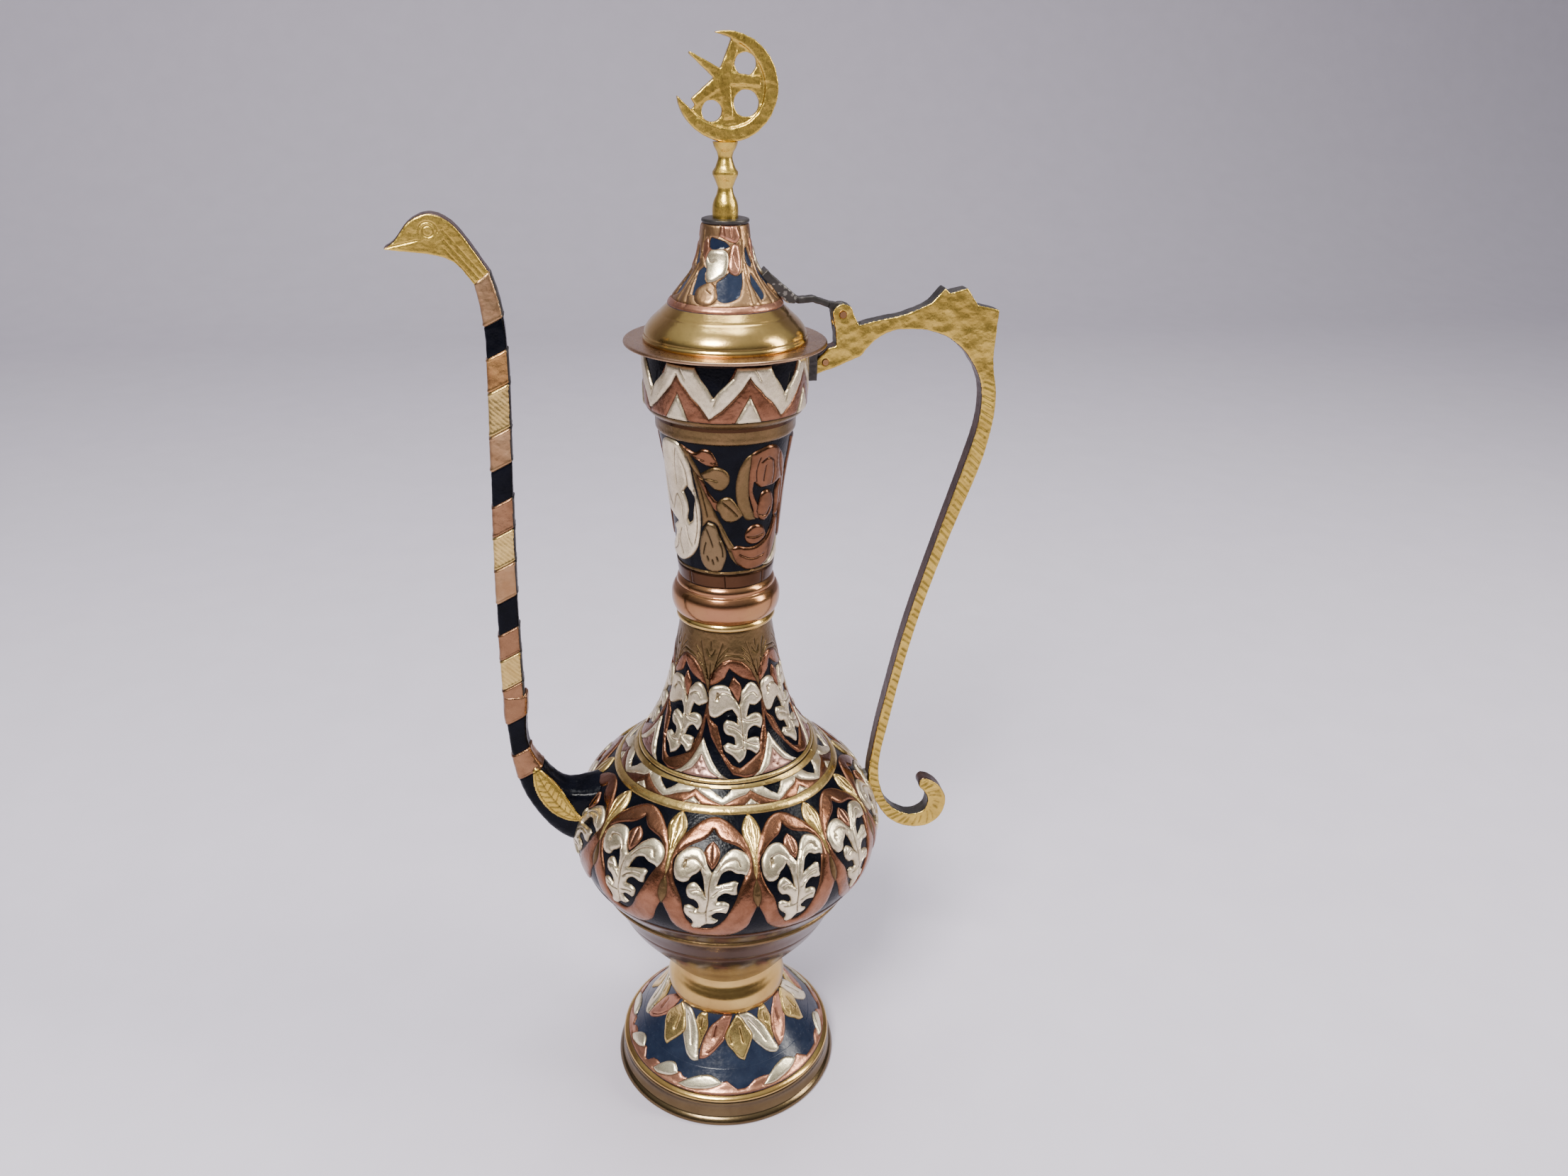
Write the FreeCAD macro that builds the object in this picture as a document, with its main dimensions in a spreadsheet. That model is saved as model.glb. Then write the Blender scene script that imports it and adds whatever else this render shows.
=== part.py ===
import FreeCAD, Part
import math
import os

import Sketcher
from FreeCAD import Rotation, Vector

# A tall footed coffee pot (dallah / ewer): a body of spun brass pieces soldered
# end to end, a cast bird-headed spout, a cast handle, and a lid on a riveted hinge.
# Millimetres, +Z up, origin on the body's axis at the table, handle towards +X,
# spout towards -X. The handle, spout and finial lie in the XZ plane.

# name, value in millimetres or degrees, what it is
SIZES = (
    ("wall", 1.0, "thickness of the spun sheet"),
    ("foot_radius", 53.6, "foot rim at the table"),
    ("rim_height", 15.0, "top of the foot rim"),
    ("dome_base_radius", 49.4, "foot dome where it meets the rim"),
    ("foot_height", 44.0, "top of the foot dome"),
    ("dome_top_radius", 27.5, "foot dome at its top"),
    ("stem_height", 62.5, "top of the brass collar above the foot"),
    ("stem_radius", 24.5, "that collar at its top"),
    ("bowl_base_radius", 25.3, "flat bottom of the vessel"),
    ("ledge_height", 114.6, "seam between bowl and belly"),
    ("ledge_radius", 58.4, "outside of that seam"),
    ("belly_radius", 69.9, "widest part of the belly"),
    ("belly_height", 142.0, "height of the widest part"),
    ("shoulder_height", 183.3, "seam between belly and lower neck"),
    ("shoulder_radius", 39.2, "outside of that seam"),
    ("flare_height", 246.0, "top of the lower neck"),
    ("flare_radius", 19.0, "lower neck at its top"),
    ("bead_height", 256.2, "middle of the neck bead"),
    ("bead_radius", 23.0, "neck bead at its widest"),
    ("bead_top_height", 265.4, "top of the neck bead"),
    ("neck_radius", 19.4, "upper neck at its foot"),
    ("neck_height", 329.0, "top of the upper neck"),
    ("neck_top_radius", 27.1, "upper neck at its top"),
    ("band_height", 336.0, "top of the plain band"),
    ("band_radius", 28.4, "plain band at its top"),
    ("mouth_height", 363.0, "top of the mouth collar"),
    ("mouth_radius", 32.1, "outside of the mouth collar"),
    ("flange_radius", 39.6, "rim flange"),
    ("flange_bore", 30.0, "hole through the rim flange"),
    ("flange_thickness", 1.4, "rim flange"),
    ("sleeve_radius", 28.6, "lid sleeve that drops into the mouth"),
    ("sleeve_length", 7.0, "reach of the sleeve below the flange top"),
    ("lid_radius", 31.9, "skirt of the lid"),
    ("cone_radius", 22.4, "foot of the lid's cone"),
    ("cone_height", 378.0, "seam between lid dome and cone"),
    ("cone_top_radius", 8.4, "top of the cone"),
    ("cap_height", 408.2, "underside of the cone's cap"),
    ("cap_radius", 8.9, "cone cap"),
    ("cap_thickness", 1.6, "cone cap"),
    ("finial_radius", 4.8, "foot of the finial stem"),
    ("finial_height", 436.6, "top of the finial stem"),
    ("stud_radius", 1.6, "finial stud through the cap"),
    ("nut_radius", 3.6, "finial nut across its corners"),
    ("nut_height", 3.0, "finial nut"),
    ("crescent_radius", 18.5, "outside of the crescent"),
    ("crescent_thickness", 4.0, "flat casting of crescent and star"),
    ("pivot_x", 46.0, "lid hinge rivet"),
    ("pivot_z", 373.3, "lid hinge rivet"),
    ("pin_radius", 1.3, "lid hinge rivet"),
    ("pin_clearance", 0.05, "running clearance in the lever's knuckle"),
    ("handle_thickness", 7.0, "handle casting across the pot"),
    ("slot_width", 3.0, "gap between the clevis ears"),
    ("knuckle_width", 2.8, "lever's tongue between the ears"),
    ("knuckle_radius", 4.4, "round end of the lever"),
    ("lever_width", 4.4, "lever arm"),
    ("paddle_width", 9.0, "lever's soldered paddle"),
    ("pad_width", 10.0, "bracket pad on the mouth collar"),
    ("rivet_radius", 1.2, "rivet through the bracket"),
    ("spout_width", 8.2, "spout across the pot"),
    ("spout_bore", 1.9, "radius of the spout's channel"),
    ("spout_seam", 213.0, "joint between spout root and tube"),
)

doc = FreeCAD.newDocument("coffee_pot")
sheet = doc.addObject("Spreadsheet::Sheet", "sizes")
for row, (alias, value, note) in enumerate(SIZES, start=1):
    sheet.set("A%d" % row, alias)
    sheet.set("B%d" % row, str(value))
    sheet.setAlias("B%d" % row, alias)
    sheet.set("C%d" % row, note)
doc.recompute()

NODES = []


def size(alias):
    return float(sheet.get(alias))


def keep(obj, label):
    """Mark obj as a finished sub-part and give it its name."""
    obj.Label = label
    NODES.append(obj)
    return obj


def bind(obj, prop, expression):
    obj.setExpression(prop, expression)


# ---------------------------------------------------------------- sketching

def sketch_in(body, role, name):
    plane = next(f for f in body.Origin.OriginFeatures if f.Role == role)
    sketch = body.newObject("Sketcher::SketchObject", name)
    sketch.AttachmentSupport = [(plane, "")]
    sketch.MapMode = "FlatFace"
    return sketch


def curve_through(points):
    """A line through two points, or a smooth curve through more."""
    vectors = [Vector(a, b, 0) for a, b in points]
    if len(vectors) == 2:
        return Part.LineSegment(vectors[0], vectors[1])
    curve = Part.BSplineCurve()
    curve.interpolate(vectors)
    return curve


def add_outline(sketch, runs):
    """Close the runs, each a list of points, into one outline; return their ids."""
    ids = [sketch.addGeometry(curve_through(run), False) for run in runs]
    joints = [Sketcher.Constraint("Coincident", a, 2, b, 1) for a, b in zip(ids, ids[1:] + ids[:1])]
    sketch.addConstraint(joints)
    return ids


def pin_vertex(sketch, geometry, end, names, values):
    """Tie one end of a run to the sheet: names are its across and up expressions."""
    for kind, name, value in zip(("DistanceX", "DistanceY"), names, values):
        if name is None:
            continue
        index = sketch.addConstraint(Sketcher.Constraint(kind, -1, 1, geometry, end, value))
        bind(sketch, "Constraints[%d]" % index, name)


def revolve(body, sketch, kind, name):
    feature = body.newObject(kind, name)
    feature.Profile = sketch
    feature.ReferenceAxis = (sketch, ["V_Axis"])
    feature.Angle = 360
    doc.recompute()
    return feature


def to_axis(runs):
    """Close an outline of (radius, height) runs back along the axis."""
    start = runs[0][0]
    end = runs[-1][-1]
    closed = list(runs)
    closed.append([end, (0, end[1])])
    closed.append([(0, end[1]), (0, start[1])])
    closed.append([(0, start[1]), start])
    return closed


def inset(points, thickness):
    """Points set in from a curve by the sheet's thickness; ends stay at their height."""
    inner = []
    last = len(points) - 1
    for i, (r, z) in enumerate(points):
        before = points[max(i - 1, 0)]
        after = points[min(i + 1, last)]
        dr = after[0] - before[0]
        dz = after[1] - before[1]
        length = math.hypot(dr, dz)
        out_r = dz / length
        out_z = -dr / length
        if i in (0, last):
            inner.append((r - thickness / out_r, z))
        else:
            inner.append((r - thickness * out_r, z - thickness * out_z))
    return inner


def spun(label, runs, inner_runs, ends):
    """A spun shell: the solid of the outer runs, hollowed by the inner runs.

    ends names the sheet's expressions for the outline's first and last vertex."""
    body = doc.addObject("PartDesign::Body", label)
    outer = sketch_in(body, "XZ_Plane", label + "_outside")
    ids = add_outline(outer, to_axis(runs))
    pin_vertex(outer, ids[0], 1, ends[0], runs[0][0])
    pin_vertex(outer, ids[len(runs) - 1], 2, ends[1], runs[-1][-1])
    solid = revolve(body, outer, "PartDesign::Revolution", label + "_solid")
    before = solid.Shape.Volume
    inner = sketch_in(body, "XZ_Plane", label + "_inside")
    add_outline(inner, to_axis(inner_runs))
    hollow = revolve(body, inner, "PartDesign::Groove", label + "_hollow")
    assert hollow.Shape.Volume < before * 0.9, label
    return keep(body, label)


def padded(label, runs, width_name):
    """A flat casting: an XZ outline padded evenly to both sides of the XZ plane."""
    body = doc.addObject("PartDesign::Body", label)
    sketch = sketch_in(body, "XZ_Plane", label + "_outline")
    add_outline(sketch, runs)
    pad = body.newObject("PartDesign::Pad", label + "_pad")
    pad.Profile = sketch
    pad.Midplane = True
    bind(pad, "Length", width_name)
    doc.recompute()
    return body


def ring(label, outer_name, inner_name, base, base_name, height_name):
    """A flat ring about the body's axis."""
    outside = doc.addObject("Part::Cylinder", label + "_outside")
    inside = doc.addObject("Part::Cylinder", label + "_hole")
    for cylinder, radius_name in ((outside, outer_name), (inside, inner_name)):
        bind(cylinder, "Radius", radius_name)
        bind(cylinder, "Height", height_name)
        cylinder.Placement = FreeCAD.Placement(Vector(0, 0, base), Rotation())
        bind(cylinder, "Placement.Base.z", base_name)
    cut = doc.addObject("Part::Cut", label)
    cut.Base = outside
    cut.Tool = inside
    return cut


# ---------------------------------------------------------------- foot

def make_foot():
    wall = size("wall")
    rim = size("rim_height")
    foot = size("foot_radius")
    bead = [(foot, 0), (foot + 0.4, 1.6), (foot - 0.2, 3.2)]
    step = [bead[-1], (foot - 1.4, 4.2)]
    waist = [step[-1], (foot - 2.0, 8.0), (foot - 1.8, 11.5)]
    shoulder = [waist[-1], (foot - 2.4, 13.8), (foot - 3.8, rim)]
    inside = [[(foot - 1.4, 0), (foot - 3.2, 12.0)], [(foot - 3.2, 12.0), (foot - 5.4, rim)]]
    spun("foot_rim", [bead, step, waist, shoulder], inside,
         (("sizes.foot_radius", None), (None, "sizes.rim_height")))

    base = size("dome_base_radius")
    top = size("foot_height")
    lip = [(base, rim), (base - 1.4, rim + 0.9)]
    dome = [lip[-1], (base - 3.2, 18.2), (base - 6.6, 22.0), (38.0, 27.5), (33.5, 33.0),
            (29.9, 38.6), (size("dome_top_radius"), top)]
    hollow = inset(dome, wall)
    hollow[0] = (base - 2.9, rim)
    spun("foot_dome", [lip, dome], [hollow],
         (("sizes.dome_base_radius", "sizes.rim_height"), ("sizes.dome_top_radius", "sizes.foot_height")))

    collar = [(size("dome_top_radius"), top), (28.3, 46.6), (28.5, 49.3), (27.9, 52.5), (26.3, 56.0),
              (24.9, 59.2), (size("stem_radius"), size("stem_height"))]
    spun("stem_collar", [collar], [inset(collar, wall)],
         (("sizes.dome_top_radius", "sizes.foot_height"), ("sizes.stem_radius", "sizes.stem_height")))


# ---------------------------------------------------------------- vessel

def belly_outline():
    return [(size("ledge_radius"), size("ledge_height")), (61.7, 119.0), (65.2, 124.0), (68.2, 130.0),
            (69.6, 136.0), (size("belly_radius"), size("belly_height")), (67.9, 150.0), (63.8, 158.5),
            (57.9, 165.6), (51.5, 171.3), (45.2, 177.0), (size("shoulder_radius"), size("shoulder_height"))]


def belly_solid():
    """The belly filled in: what the spout root and the solder are fitted to."""
    runs = to_axis([belly_outline()])
    edges = [curve_through(run).toShape() for run in runs]
    face = Part.Face(Part.Wire(edges))
    face.rotate(Vector(0, 0, 0), Vector(1, 0, 0), 90)
    return face.revolve(Vector(0, 0, 0), Vector(0, 0, 1), 360)


def make_vessel():
    wall = size("wall")
    base = size("bowl_base_radius")
    floor = size("stem_height")
    ledge = size("ledge_height")
    bowl = [(base, floor), (28.4, 65.6), (32.2, 70.6), (36.9, 77.2), (42.2, 84.0), (47.6, 91.6),
            (51.6, 99.4), (54.8, 107.0), (57.2, 111.8)]
    lip = [bowl[-1], (58.5, 112.2)]
    bead = [lip[-1], (59.0, 113.4), (size("ledge_radius"), ledge)]
    hollow = inset(bowl, wall)
    hollow[0] = (base - 1.6, floor + wall)
    hollow[-1] = (57.2, ledge)
    spun("lower_bowl", [bowl, lip, bead], [hollow],
         (("sizes.bowl_base_radius", "sizes.stem_height"), ("sizes.ledge_radius", "sizes.ledge_height")))

    belly = belly_outline()
    spun("belly_shell", [belly], [inset(belly, wall)],
         (("sizes.ledge_radius", "sizes.ledge_height"), ("sizes.shoulder_radius", "sizes.shoulder_height")))

    flare = [belly[-1], (33.4, 192.0), (28.5, 202.0), (25.2, 212.0), (22.9, 222.0), (21.2, 232.0),
             (19.8, 240.0), (size("flare_radius"), size("flare_height"))]
    spun("neck_flare", [flare], [inset(flare, wall)],
         (("sizes.shoulder_radius", "sizes.shoulder_height"), ("sizes.flare_radius", "sizes.flare_height")))


# ---------------------------------------------------------------- neck and mouth

def make_neck():
    wall = size("wall")
    low = size("flare_height")
    middle = size("bead_height")
    top = size("bead_top_height")
    bead = size("bead_radius")
    neck = size("neck_radius")
    lower_ring = [(neck, low), (neck + 1.2, low + 1.3), (neck + 0.3, low + 2.7)]
    roll = [lower_ring[-1], (bead - 1.2, middle - 4.8), (bead, middle), (bead - 1.2, middle + 4.8),
            (neck + 0.4, middle + 7.0)]
    upper_ring = [roll[-1], (neck + 1.0, top - 1.1), (neck, top)]
    bore = [(neck - 1.4, low), (neck - 0.8, low + 3.4), (bead - 2.4, middle - 3.6), (bead - 1.2, middle),
            (bead - 2.4, middle + 3.6), (neck - 0.8, top - 2.4), (neck - 1.2, top)]
    spun("neck_bead", [lower_ring, roll, upper_ring], [bore],
         (("sizes.neck_radius", "sizes.flare_height"), ("sizes.neck_radius", "sizes.bead_top_height")))

    upper = [(neck, top), (20.3, 274.4), (21.1, 283.4), (21.9, 292.0), (22.7, 300.4),
             (23.5, 308.0), (24.5, 315.0), (25.8, 322.0), (size("neck_top_radius"), size("neck_height"))]
    spun("upper_neck", [upper], [inset(upper, wall)],
         (("sizes.neck_radius", "sizes.bead_top_height"), ("sizes.neck_top_radius", "sizes.neck_height")))

    foot = size("neck_top_radius")
    band_low = size("neck_height")
    band_top = size("band_height")
    band = [(foot + 0.8, band_low), (28.3, band_low + 3.4), (size("band_radius"), band_top)]
    inside = [[(foot - wall, band_low), (size("band_radius") - wall, band_top)]]
    spun("neck_band", [band], inside,
         ((None, "sizes.neck_height"), ("sizes.band_radius", "sizes.band_height")))

    mouth = size("mouth_radius")
    mouth_top = size("mouth_height")
    bevel = [(size("band_radius"), band_top), (30.6, band_top + 1.4), (mouth, band_top + 4.0)]
    drum = [bevel[-1], (mouth, mouth_top)]
    hollow = [[(size("band_radius") - wall, band_top), (mouth - wall, band_top + 5.2)],
              [(mouth - wall, band_top + 5.2), (mouth - wall, mouth_top)]]
    spun("mouth_collar", [bevel, drum], hollow,
         (("sizes.band_radius", "sizes.band_height"), ("sizes.mouth_radius", "sizes.mouth_height")))

    flange = ring("rim_flange_blank", "sizes.flange_radius", "sizes.flange_bore", mouth_top,
                  "sizes.mouth_height", "sizes.flange_thickness")
    doc.recompute()
    rounded = doc.addObject("Part::Fillet", "rim_flange")
    rounded.Base = flange
    radius = 0.45
    outer_edges = [i for i, edge in enumerate(flange.Shape.Edges, start=1)
                   if edge.Closed and edge.BoundBox.XMax > size("flange_radius") - 0.1]
    rounded.Edges = [(i, radius, radius) for i in outer_edges]
    keep(rounded, "rim_flange")


# ---------------------------------------------------------------- lid

def cone_outline():
    return [(size("cone_radius"), size("cone_height")), (19.0, 382.3), (16.1, 386.0), (12.9, 390.4),
            (10.7, 395.4), (9.3, 402.0), (size("cone_top_radius"), size("cap_height"))]


def make_lid():
    wall = size("wall")
    seat = size("mouth_height") + size("flange_thickness")
    lid = size("lid_radius")
    skirt = [(lid, seat), (lid, seat + 1.8)]
    dome = [skirt[-1], (31.3, 368.6), (29.6, 371.2), (26.5, 374.2), (size("cone_radius"), size("cone_height"))]
    inside_skirt = [(lid - wall, seat), (lid - wall, seat + 1.6)]
    inside_dome = [inside_skirt[-1], (30.2, 368.3), (28.6, 370.6), (25.6, 373.4), (20.9, size("cone_height"))]
    spun("lid_dome", [skirt, dome], [inside_skirt, inside_dome],
         (("sizes.lid_radius", "sizes.mouth_height + sizes.flange_thickness"),
          ("sizes.cone_radius", "sizes.cone_height")))

    cone = cone_outline()
    spun("lid_cone", [cone], [inset(cone, wall)],
         (("sizes.cone_radius", "sizes.cone_height"), ("sizes.cone_top_radius", "sizes.cap_height")))

    keep(ring("lid_cap", "sizes.cap_radius", "sizes.stud_radius", size("cap_height"),
              "sizes.cap_height", "sizes.cap_thickness"), "lid_cap")

    # The sleeve: a short tube whose top is turned out to a ring that lies on the
    # flange, inside the skirt of the dome.
    sleeve = size("sleeve_radius")
    low = seat - size("sleeve_length")
    taper = 0.8
    lip = lid - wall
    corners = [(sleeve - taper, low), (sleeve, seat), (lip, seat), (lip, seat + wall),
               (sleeve - wall, seat + wall), (sleeve - taper - wall, low)]
    body = doc.addObject("PartDesign::Body", "lid_sleeve")
    sketch = sketch_in(body, "XZ_Plane", "lid_sleeve_section")
    ids = add_outline(sketch, [[a, b] for a, b in zip(corners, corners[1:] + corners[:1])])
    pin_vertex(sketch, ids[1], 1, ("sizes.sleeve_radius", "sizes.mouth_height + sizes.flange_thickness"),
               corners[1])
    revolve(body, sketch, "PartDesign::Revolution", "lid_sleeve_solid")
    keep(body, "lid_sleeve")


def make_finial():
    foot = size("cap_height") + size("cap_thickness")
    base = size("finial_radius")
    stud = size("stud_radius")
    stud_low = size("cap_height") - size("nut_height") - 1.2
    top = size("finial_height")
    runs = [
        [(0, stud_low), (stud, stud_low)],
        [(stud, stud_low), (stud, foot)],
        [(stud, foot), (base, foot)],
        [(base, foot), (base, foot + 4.6)],
        [(base, foot + 4.6), (4.3, 416.0), (3.1, 418.4), (2.8, 420.6)],
        [(2.8, 420.6), (4.8, 425.2)],
        [(4.8, 425.2), (4.8, 426.2)],
        [(4.8, 426.2), (3.2, 429.2), (2.7, 431.0)],
        [(2.7, 431.0), (3.2, 433.2), (4.3, 435.0), (4.7, top)],
        [(4.7, top), (0, top)],
        [(0, top), (0, stud_low)],
    ]
    body = doc.addObject("PartDesign::Body", "finial_stem")
    sketch = sketch_in(body, "XZ_Plane", "finial_section")
    ids = add_outline(sketch, runs)
    pin_vertex(sketch, ids[3], 1, ("sizes.finial_radius", "sizes.cap_height + sizes.cap_thickness"), (base, foot))
    revolve(body, sketch, "PartDesign::Revolution", "finial_solid")
    keep(body, "finial_stem")

    blank = doc.addObject("Part::Prism", "finial_nut_blank")
    hole = doc.addObject("Part::Cylinder", "finial_nut_hole")
    blank.Polygon = 6
    bind(blank, "Circumradius", "sizes.nut_radius")
    bind(hole, "Radius", "sizes.stud_radius")
    for part in (blank, hole):
        bind(part, "Height", "sizes.nut_height")
        bind(part, "Placement.Base.z", "sizes.cap_height - sizes.nut_height")
    nut = doc.addObject("Part::Cut", "finial_nut")
    nut.Base = blank
    nut.Tool = hole
    keep(nut, "finial_nut")


def make_crescent():
    """Crescent open to the upper left, joined to a five-armed star by a web
    pierced with three round holes; the star's long arm points out of the opening."""
    radius = size("crescent_radius")
    middle = Vector(0.7, 0, size("finial_height") + radius - 0.1)

    def rim_point(angle, r):
        turn = math.radians(angle)
        return (middle.x + r * math.cos(turn), middle.z + r * math.sin(turn))

    # The inner edge leaves each horn's point and sinks to the band's full width.
    outer_turns = (105, 80, 45, 0, -45, -90, -135, -171)
    inner_cuts = ((-160, 2.2), (-140, 3.9), (-90, 4.8), (-45, 4.6), (0, 4.8), (45, 4.4), (70, 3.4), (90, 1.9))
    outer = [rim_point(turn, radius) for turn in outer_turns]
    inner = [outer[-1]] + [rim_point(turn, radius - cut) for turn, cut in inner_cuts] + [outer[0]]
    body = padded("crescent_star", [outer, inner], "sizes.crescent_thickness")

    star = (-0.9, 458.2)
    spike_angle = 146
    spike_length = 14.6
    arm_reach = 13.6
    arm_angles = (70, -4, -82, -142)
    half_arm = 1.5
    thin = "sizes.crescent_thickness * 0.8"

    def arm(name, angle, length, half_root, half_tip):
        turn = math.radians(angle)
        along = (math.cos(turn), math.sin(turn))
        across = (-along[1], along[0])
        corners = []
        for reach, half in ((-0.8, half_root), (length, half_tip), (length, -half_tip), (-0.8, -half_root)):
            corners.append((star[0] + reach * along[0] + half * across[0],
                            star[1] + reach * along[1] + half * across[1]))
        sketch = sketch_in(body, "XZ_Plane", name)
        add_outline(sketch, [[a, b] for a, b in zip(corners, corners[1:] + corners[:1])])
        pad = body.newObject("PartDesign::Pad", name + "_pad")
        pad.Profile = sketch
        pad.Midplane = True
        bind(pad, "Length", thin)
        doc.recompute()

    # The web fills the crescent up to the star, apart from its three round holes.
    web_radius = radius - 3.0
    web_turns = (80, 45, 0, -45, -90, -150)
    rim = [rim_point(turn, web_radius) for turn in web_turns]
    web_sketch = sketch_in(body, "XZ_Plane", "star_web")
    add_outline(web_sketch, [rim, [rim[-1], star], [star, rim[0]]])
    for x, z, hole_radius in ((7.2, 462.8, 3.9), (7.6, 449.7, 4.6), (-5.0, 447.0, 3.7)):
        web_sketch.addGeometry(Part.Circle(Vector(x, z, 0), Vector(0, 0, 1), hole_radius), False)
    web = body.newObject("PartDesign::Pad", "star_web_pad")
    web.Profile = web_sketch
    web.Midplane = True
    bind(web, "Length", "sizes.crescent_thickness * 0.55")
    doc.recompute()

    arm("star_spike", spike_angle, spike_length, 2.4, 0.4)
    for number, angle in enumerate(arm_angles, start=1):
        arm("star_arm_%d" % number, angle, arm_reach, 2.1, half_arm)
    keep(body, "crescent_star")


# ---------------------------------------------------------------- handle and hinge

def cylinder_across(name, radius_expression, length_expression, x_name, z_name):
    """A cylinder along Y, centred on the XZ plane."""
    cylinder = doc.addObject("Part::Cylinder", name)
    bind(cylinder, "Radius", radius_expression)
    bind(cylinder, "Height", length_expression)
    cylinder.Placement = FreeCAD.Placement(Vector(0, 0, 0), Rotation(Vector(1, 0, 0), -90))
    bind(cylinder, "Placement.Base.x", x_name)
    bind(cylinder, "Placement.Base.y", "-(%s) / 2" % length_expression)
    bind(cylinder, "Placement.Base.z", z_name)
    return cylinder


def make_handle():
    pivot_x = size("pivot_x")
    pivot_z = size("pivot_z")
    bracket = [(36.0, 349.8), (46.0, 353.4), (54.0, 356.8)]
    grip = [bracket[-1], (57.8, 361.3), (63.1, 365.2), (70.6, 367.0), (78.0, 366.8), (86.3, 364.9),
            (92.6, 361.6), (97.4, 357.4), (101.2, 352.4), (104.2, 347.0), (105.8, 341.0), (106.2, 335.0),
            (105.4, 326.2), (102.4, 313.9), (98.8, 301.5), (94.1, 285.6), (88.5, 266.1), (82.9, 246.1),
            (77.9, 225.3), (73.6, 203.9), (69.9, 184.0), (67.6, 168.0), (66.8, 158.5), (67.2, 153.0),
            (69.2, 147.4)]
    curl_under = [grip[-1], (72.2, 140.6), (77.0, 133.4), (83.4, 128.2), (90.9, 125.8), (98.2, 126.4),
                  (103.2, 130.2), (105.8, 136.0), (105.4, 142.0), (102.6, 147.4), (98.4, 151.2), (94.2, 153.0)]
    tip = [curl_under[-1], (92.4, 151.6), (92.2, 149.4), (93.2, 147.4)]
    curl_over = [tip[-1], (96.0, 144.0), (97.2, 139.8), (96.0, 135.8), (92.6, 133.4), (87.4, 133.4),
                 (81.4, 136.6), (76.6, 141.8), (73.6, 148.4), (71.9, 156.4), (71.7, 164.0)]
    back = [curl_over[-1], (72.5, 172.0), (74.7, 184.0), (78.2, 203.6), (82.6, 225.0), (87.8, 245.7),
            (93.8, 265.8), (100.1, 285.3), (105.8, 301.2), (109.5, 313.6), (111.8, 325.9), (112.5, 334.0),
            (111.9, 342.0), (110.5, 349.0), (109.8, 355.0), (110.0, 362.0)]
    corner = (110.4, 373.9)
    crest = [corner, (101.2, 376.0), (96.4, 382.8), (89.2, 380.9), (87.2, 383.0), (82.0, 377.4)]
    top = [crest[-1], (76.6, 374.8), (71.0, 372.9), (59.7, 370.6), (52.6, 368.9)]
    ear_radius = 4.2
    ear_top = [(pivot_x + ear_radius * math.cos(math.radians(turn)),
                pivot_z + ear_radius * math.sin(math.radians(turn))) for turn in (10, 50, 95, 140, 175)]
    runs = [bracket, grip, curl_under, tip, curl_over, back, [back[-1], corner]]
    runs += [[a, b] for a, b in zip(crest, crest[1:])]
    runs += [top, [top[-1], ear_top[0]], ear_top]
    ear_foot = (43.8, 361.0)
    runs += [[ear_top[-1], (43.2, 367.1)], [(43.2, 367.1), ear_foot], [ear_foot, (40.6, 360.2)]]
    runs += [[(40.6, 360.2), (36.0, 355.6)], [(36.0, 355.6), bracket[0]]]
    casting = padded("handle_casting", runs, "sizes.handle_thickness")

    slot = doc.addObject("Part::Box", "clevis_slot")
    slot_margin = 0.5
    slot_reach = 8.0
    slot.Placement = FreeCAD.Placement(Vector(pivot_x - slot_reach, 0, pivot_z), Rotation())
    bind(slot, "Width", "sizes.slot_width")
    bind(slot, "Placement.Base.y", "-sizes.slot_width / 2")
    bind(slot, "Placement.Base.z", "sizes.pivot_z - sizes.knuckle_radius - %g" % slot_margin)
    slot.Length = 2 * slot_reach
    slot.Height = 2 * slot_reach
    pin_hole = cylinder_across("clevis_hole", "sizes.pin_radius + 0.02", "sizes.handle_thickness * 2",
                               "sizes.pivot_x", "sizes.pivot_z")
    rivet_hole = cylinder_across("bracket_hole", "sizes.rivet_radius", "sizes.handle_thickness * 2",
                                 "sizes.flange_radius", "sizes.mouth_height - 8.4")
    tools = doc.addObject("Part::MultiFuse", "handle_tools")
    tools.Shapes = [slot, pin_hole, rivet_hole]
    handle = doc.addObject("Part::Cut", "handle")
    handle.Base = casting
    handle.Tool = tools
    keep(handle, "handle")

    keep(cylinder_across("hinge_pin", "sizes.pin_radius", "sizes.handle_thickness + 0.8",
                         "sizes.pivot_x", "sizes.pivot_z"), "hinge_pin")
    keep(cylinder_across("bracket_rivet", "sizes.rivet_radius", "sizes.handle_thickness + 0.8",
                         "sizes.flange_radius", "sizes.mouth_height - 8.4"), "bracket_rivet")

    # The pad between the mouth collar and the end of the bracket, hollowed to the collar.
    pad_blank = doc.addObject("Part::Box", "bracket_pad_blank")
    pad_blank.Height = 13.0
    bind(pad_blank, "Width", "sizes.pad_width")
    pad_end = 36.0
    pad_sink = 2.0
    bind(pad_blank, "Length", "%g - sizes.mouth_radius + %g" % (pad_end, pad_sink))
    pad_blank.Placement = FreeCAD.Placement(Vector(30, 0, 347.6), Rotation())
    bind(pad_blank, "Placement.Base.x", "sizes.mouth_radius - %g" % pad_sink)
    bind(pad_blank, "Placement.Base.y", "-sizes.pad_width / 2")
    drum = doc.addObject("Part::Cylinder", "mouth_drum")
    bind(drum, "Radius", "sizes.mouth_radius")
    bind(drum, "Height", "sizes.mouth_height")
    pad = doc.addObject("Part::Cut", "bracket_pad")
    pad.Base = pad_blank
    pad.Tool = drum
    keep(pad, "bracket_pad")

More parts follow.
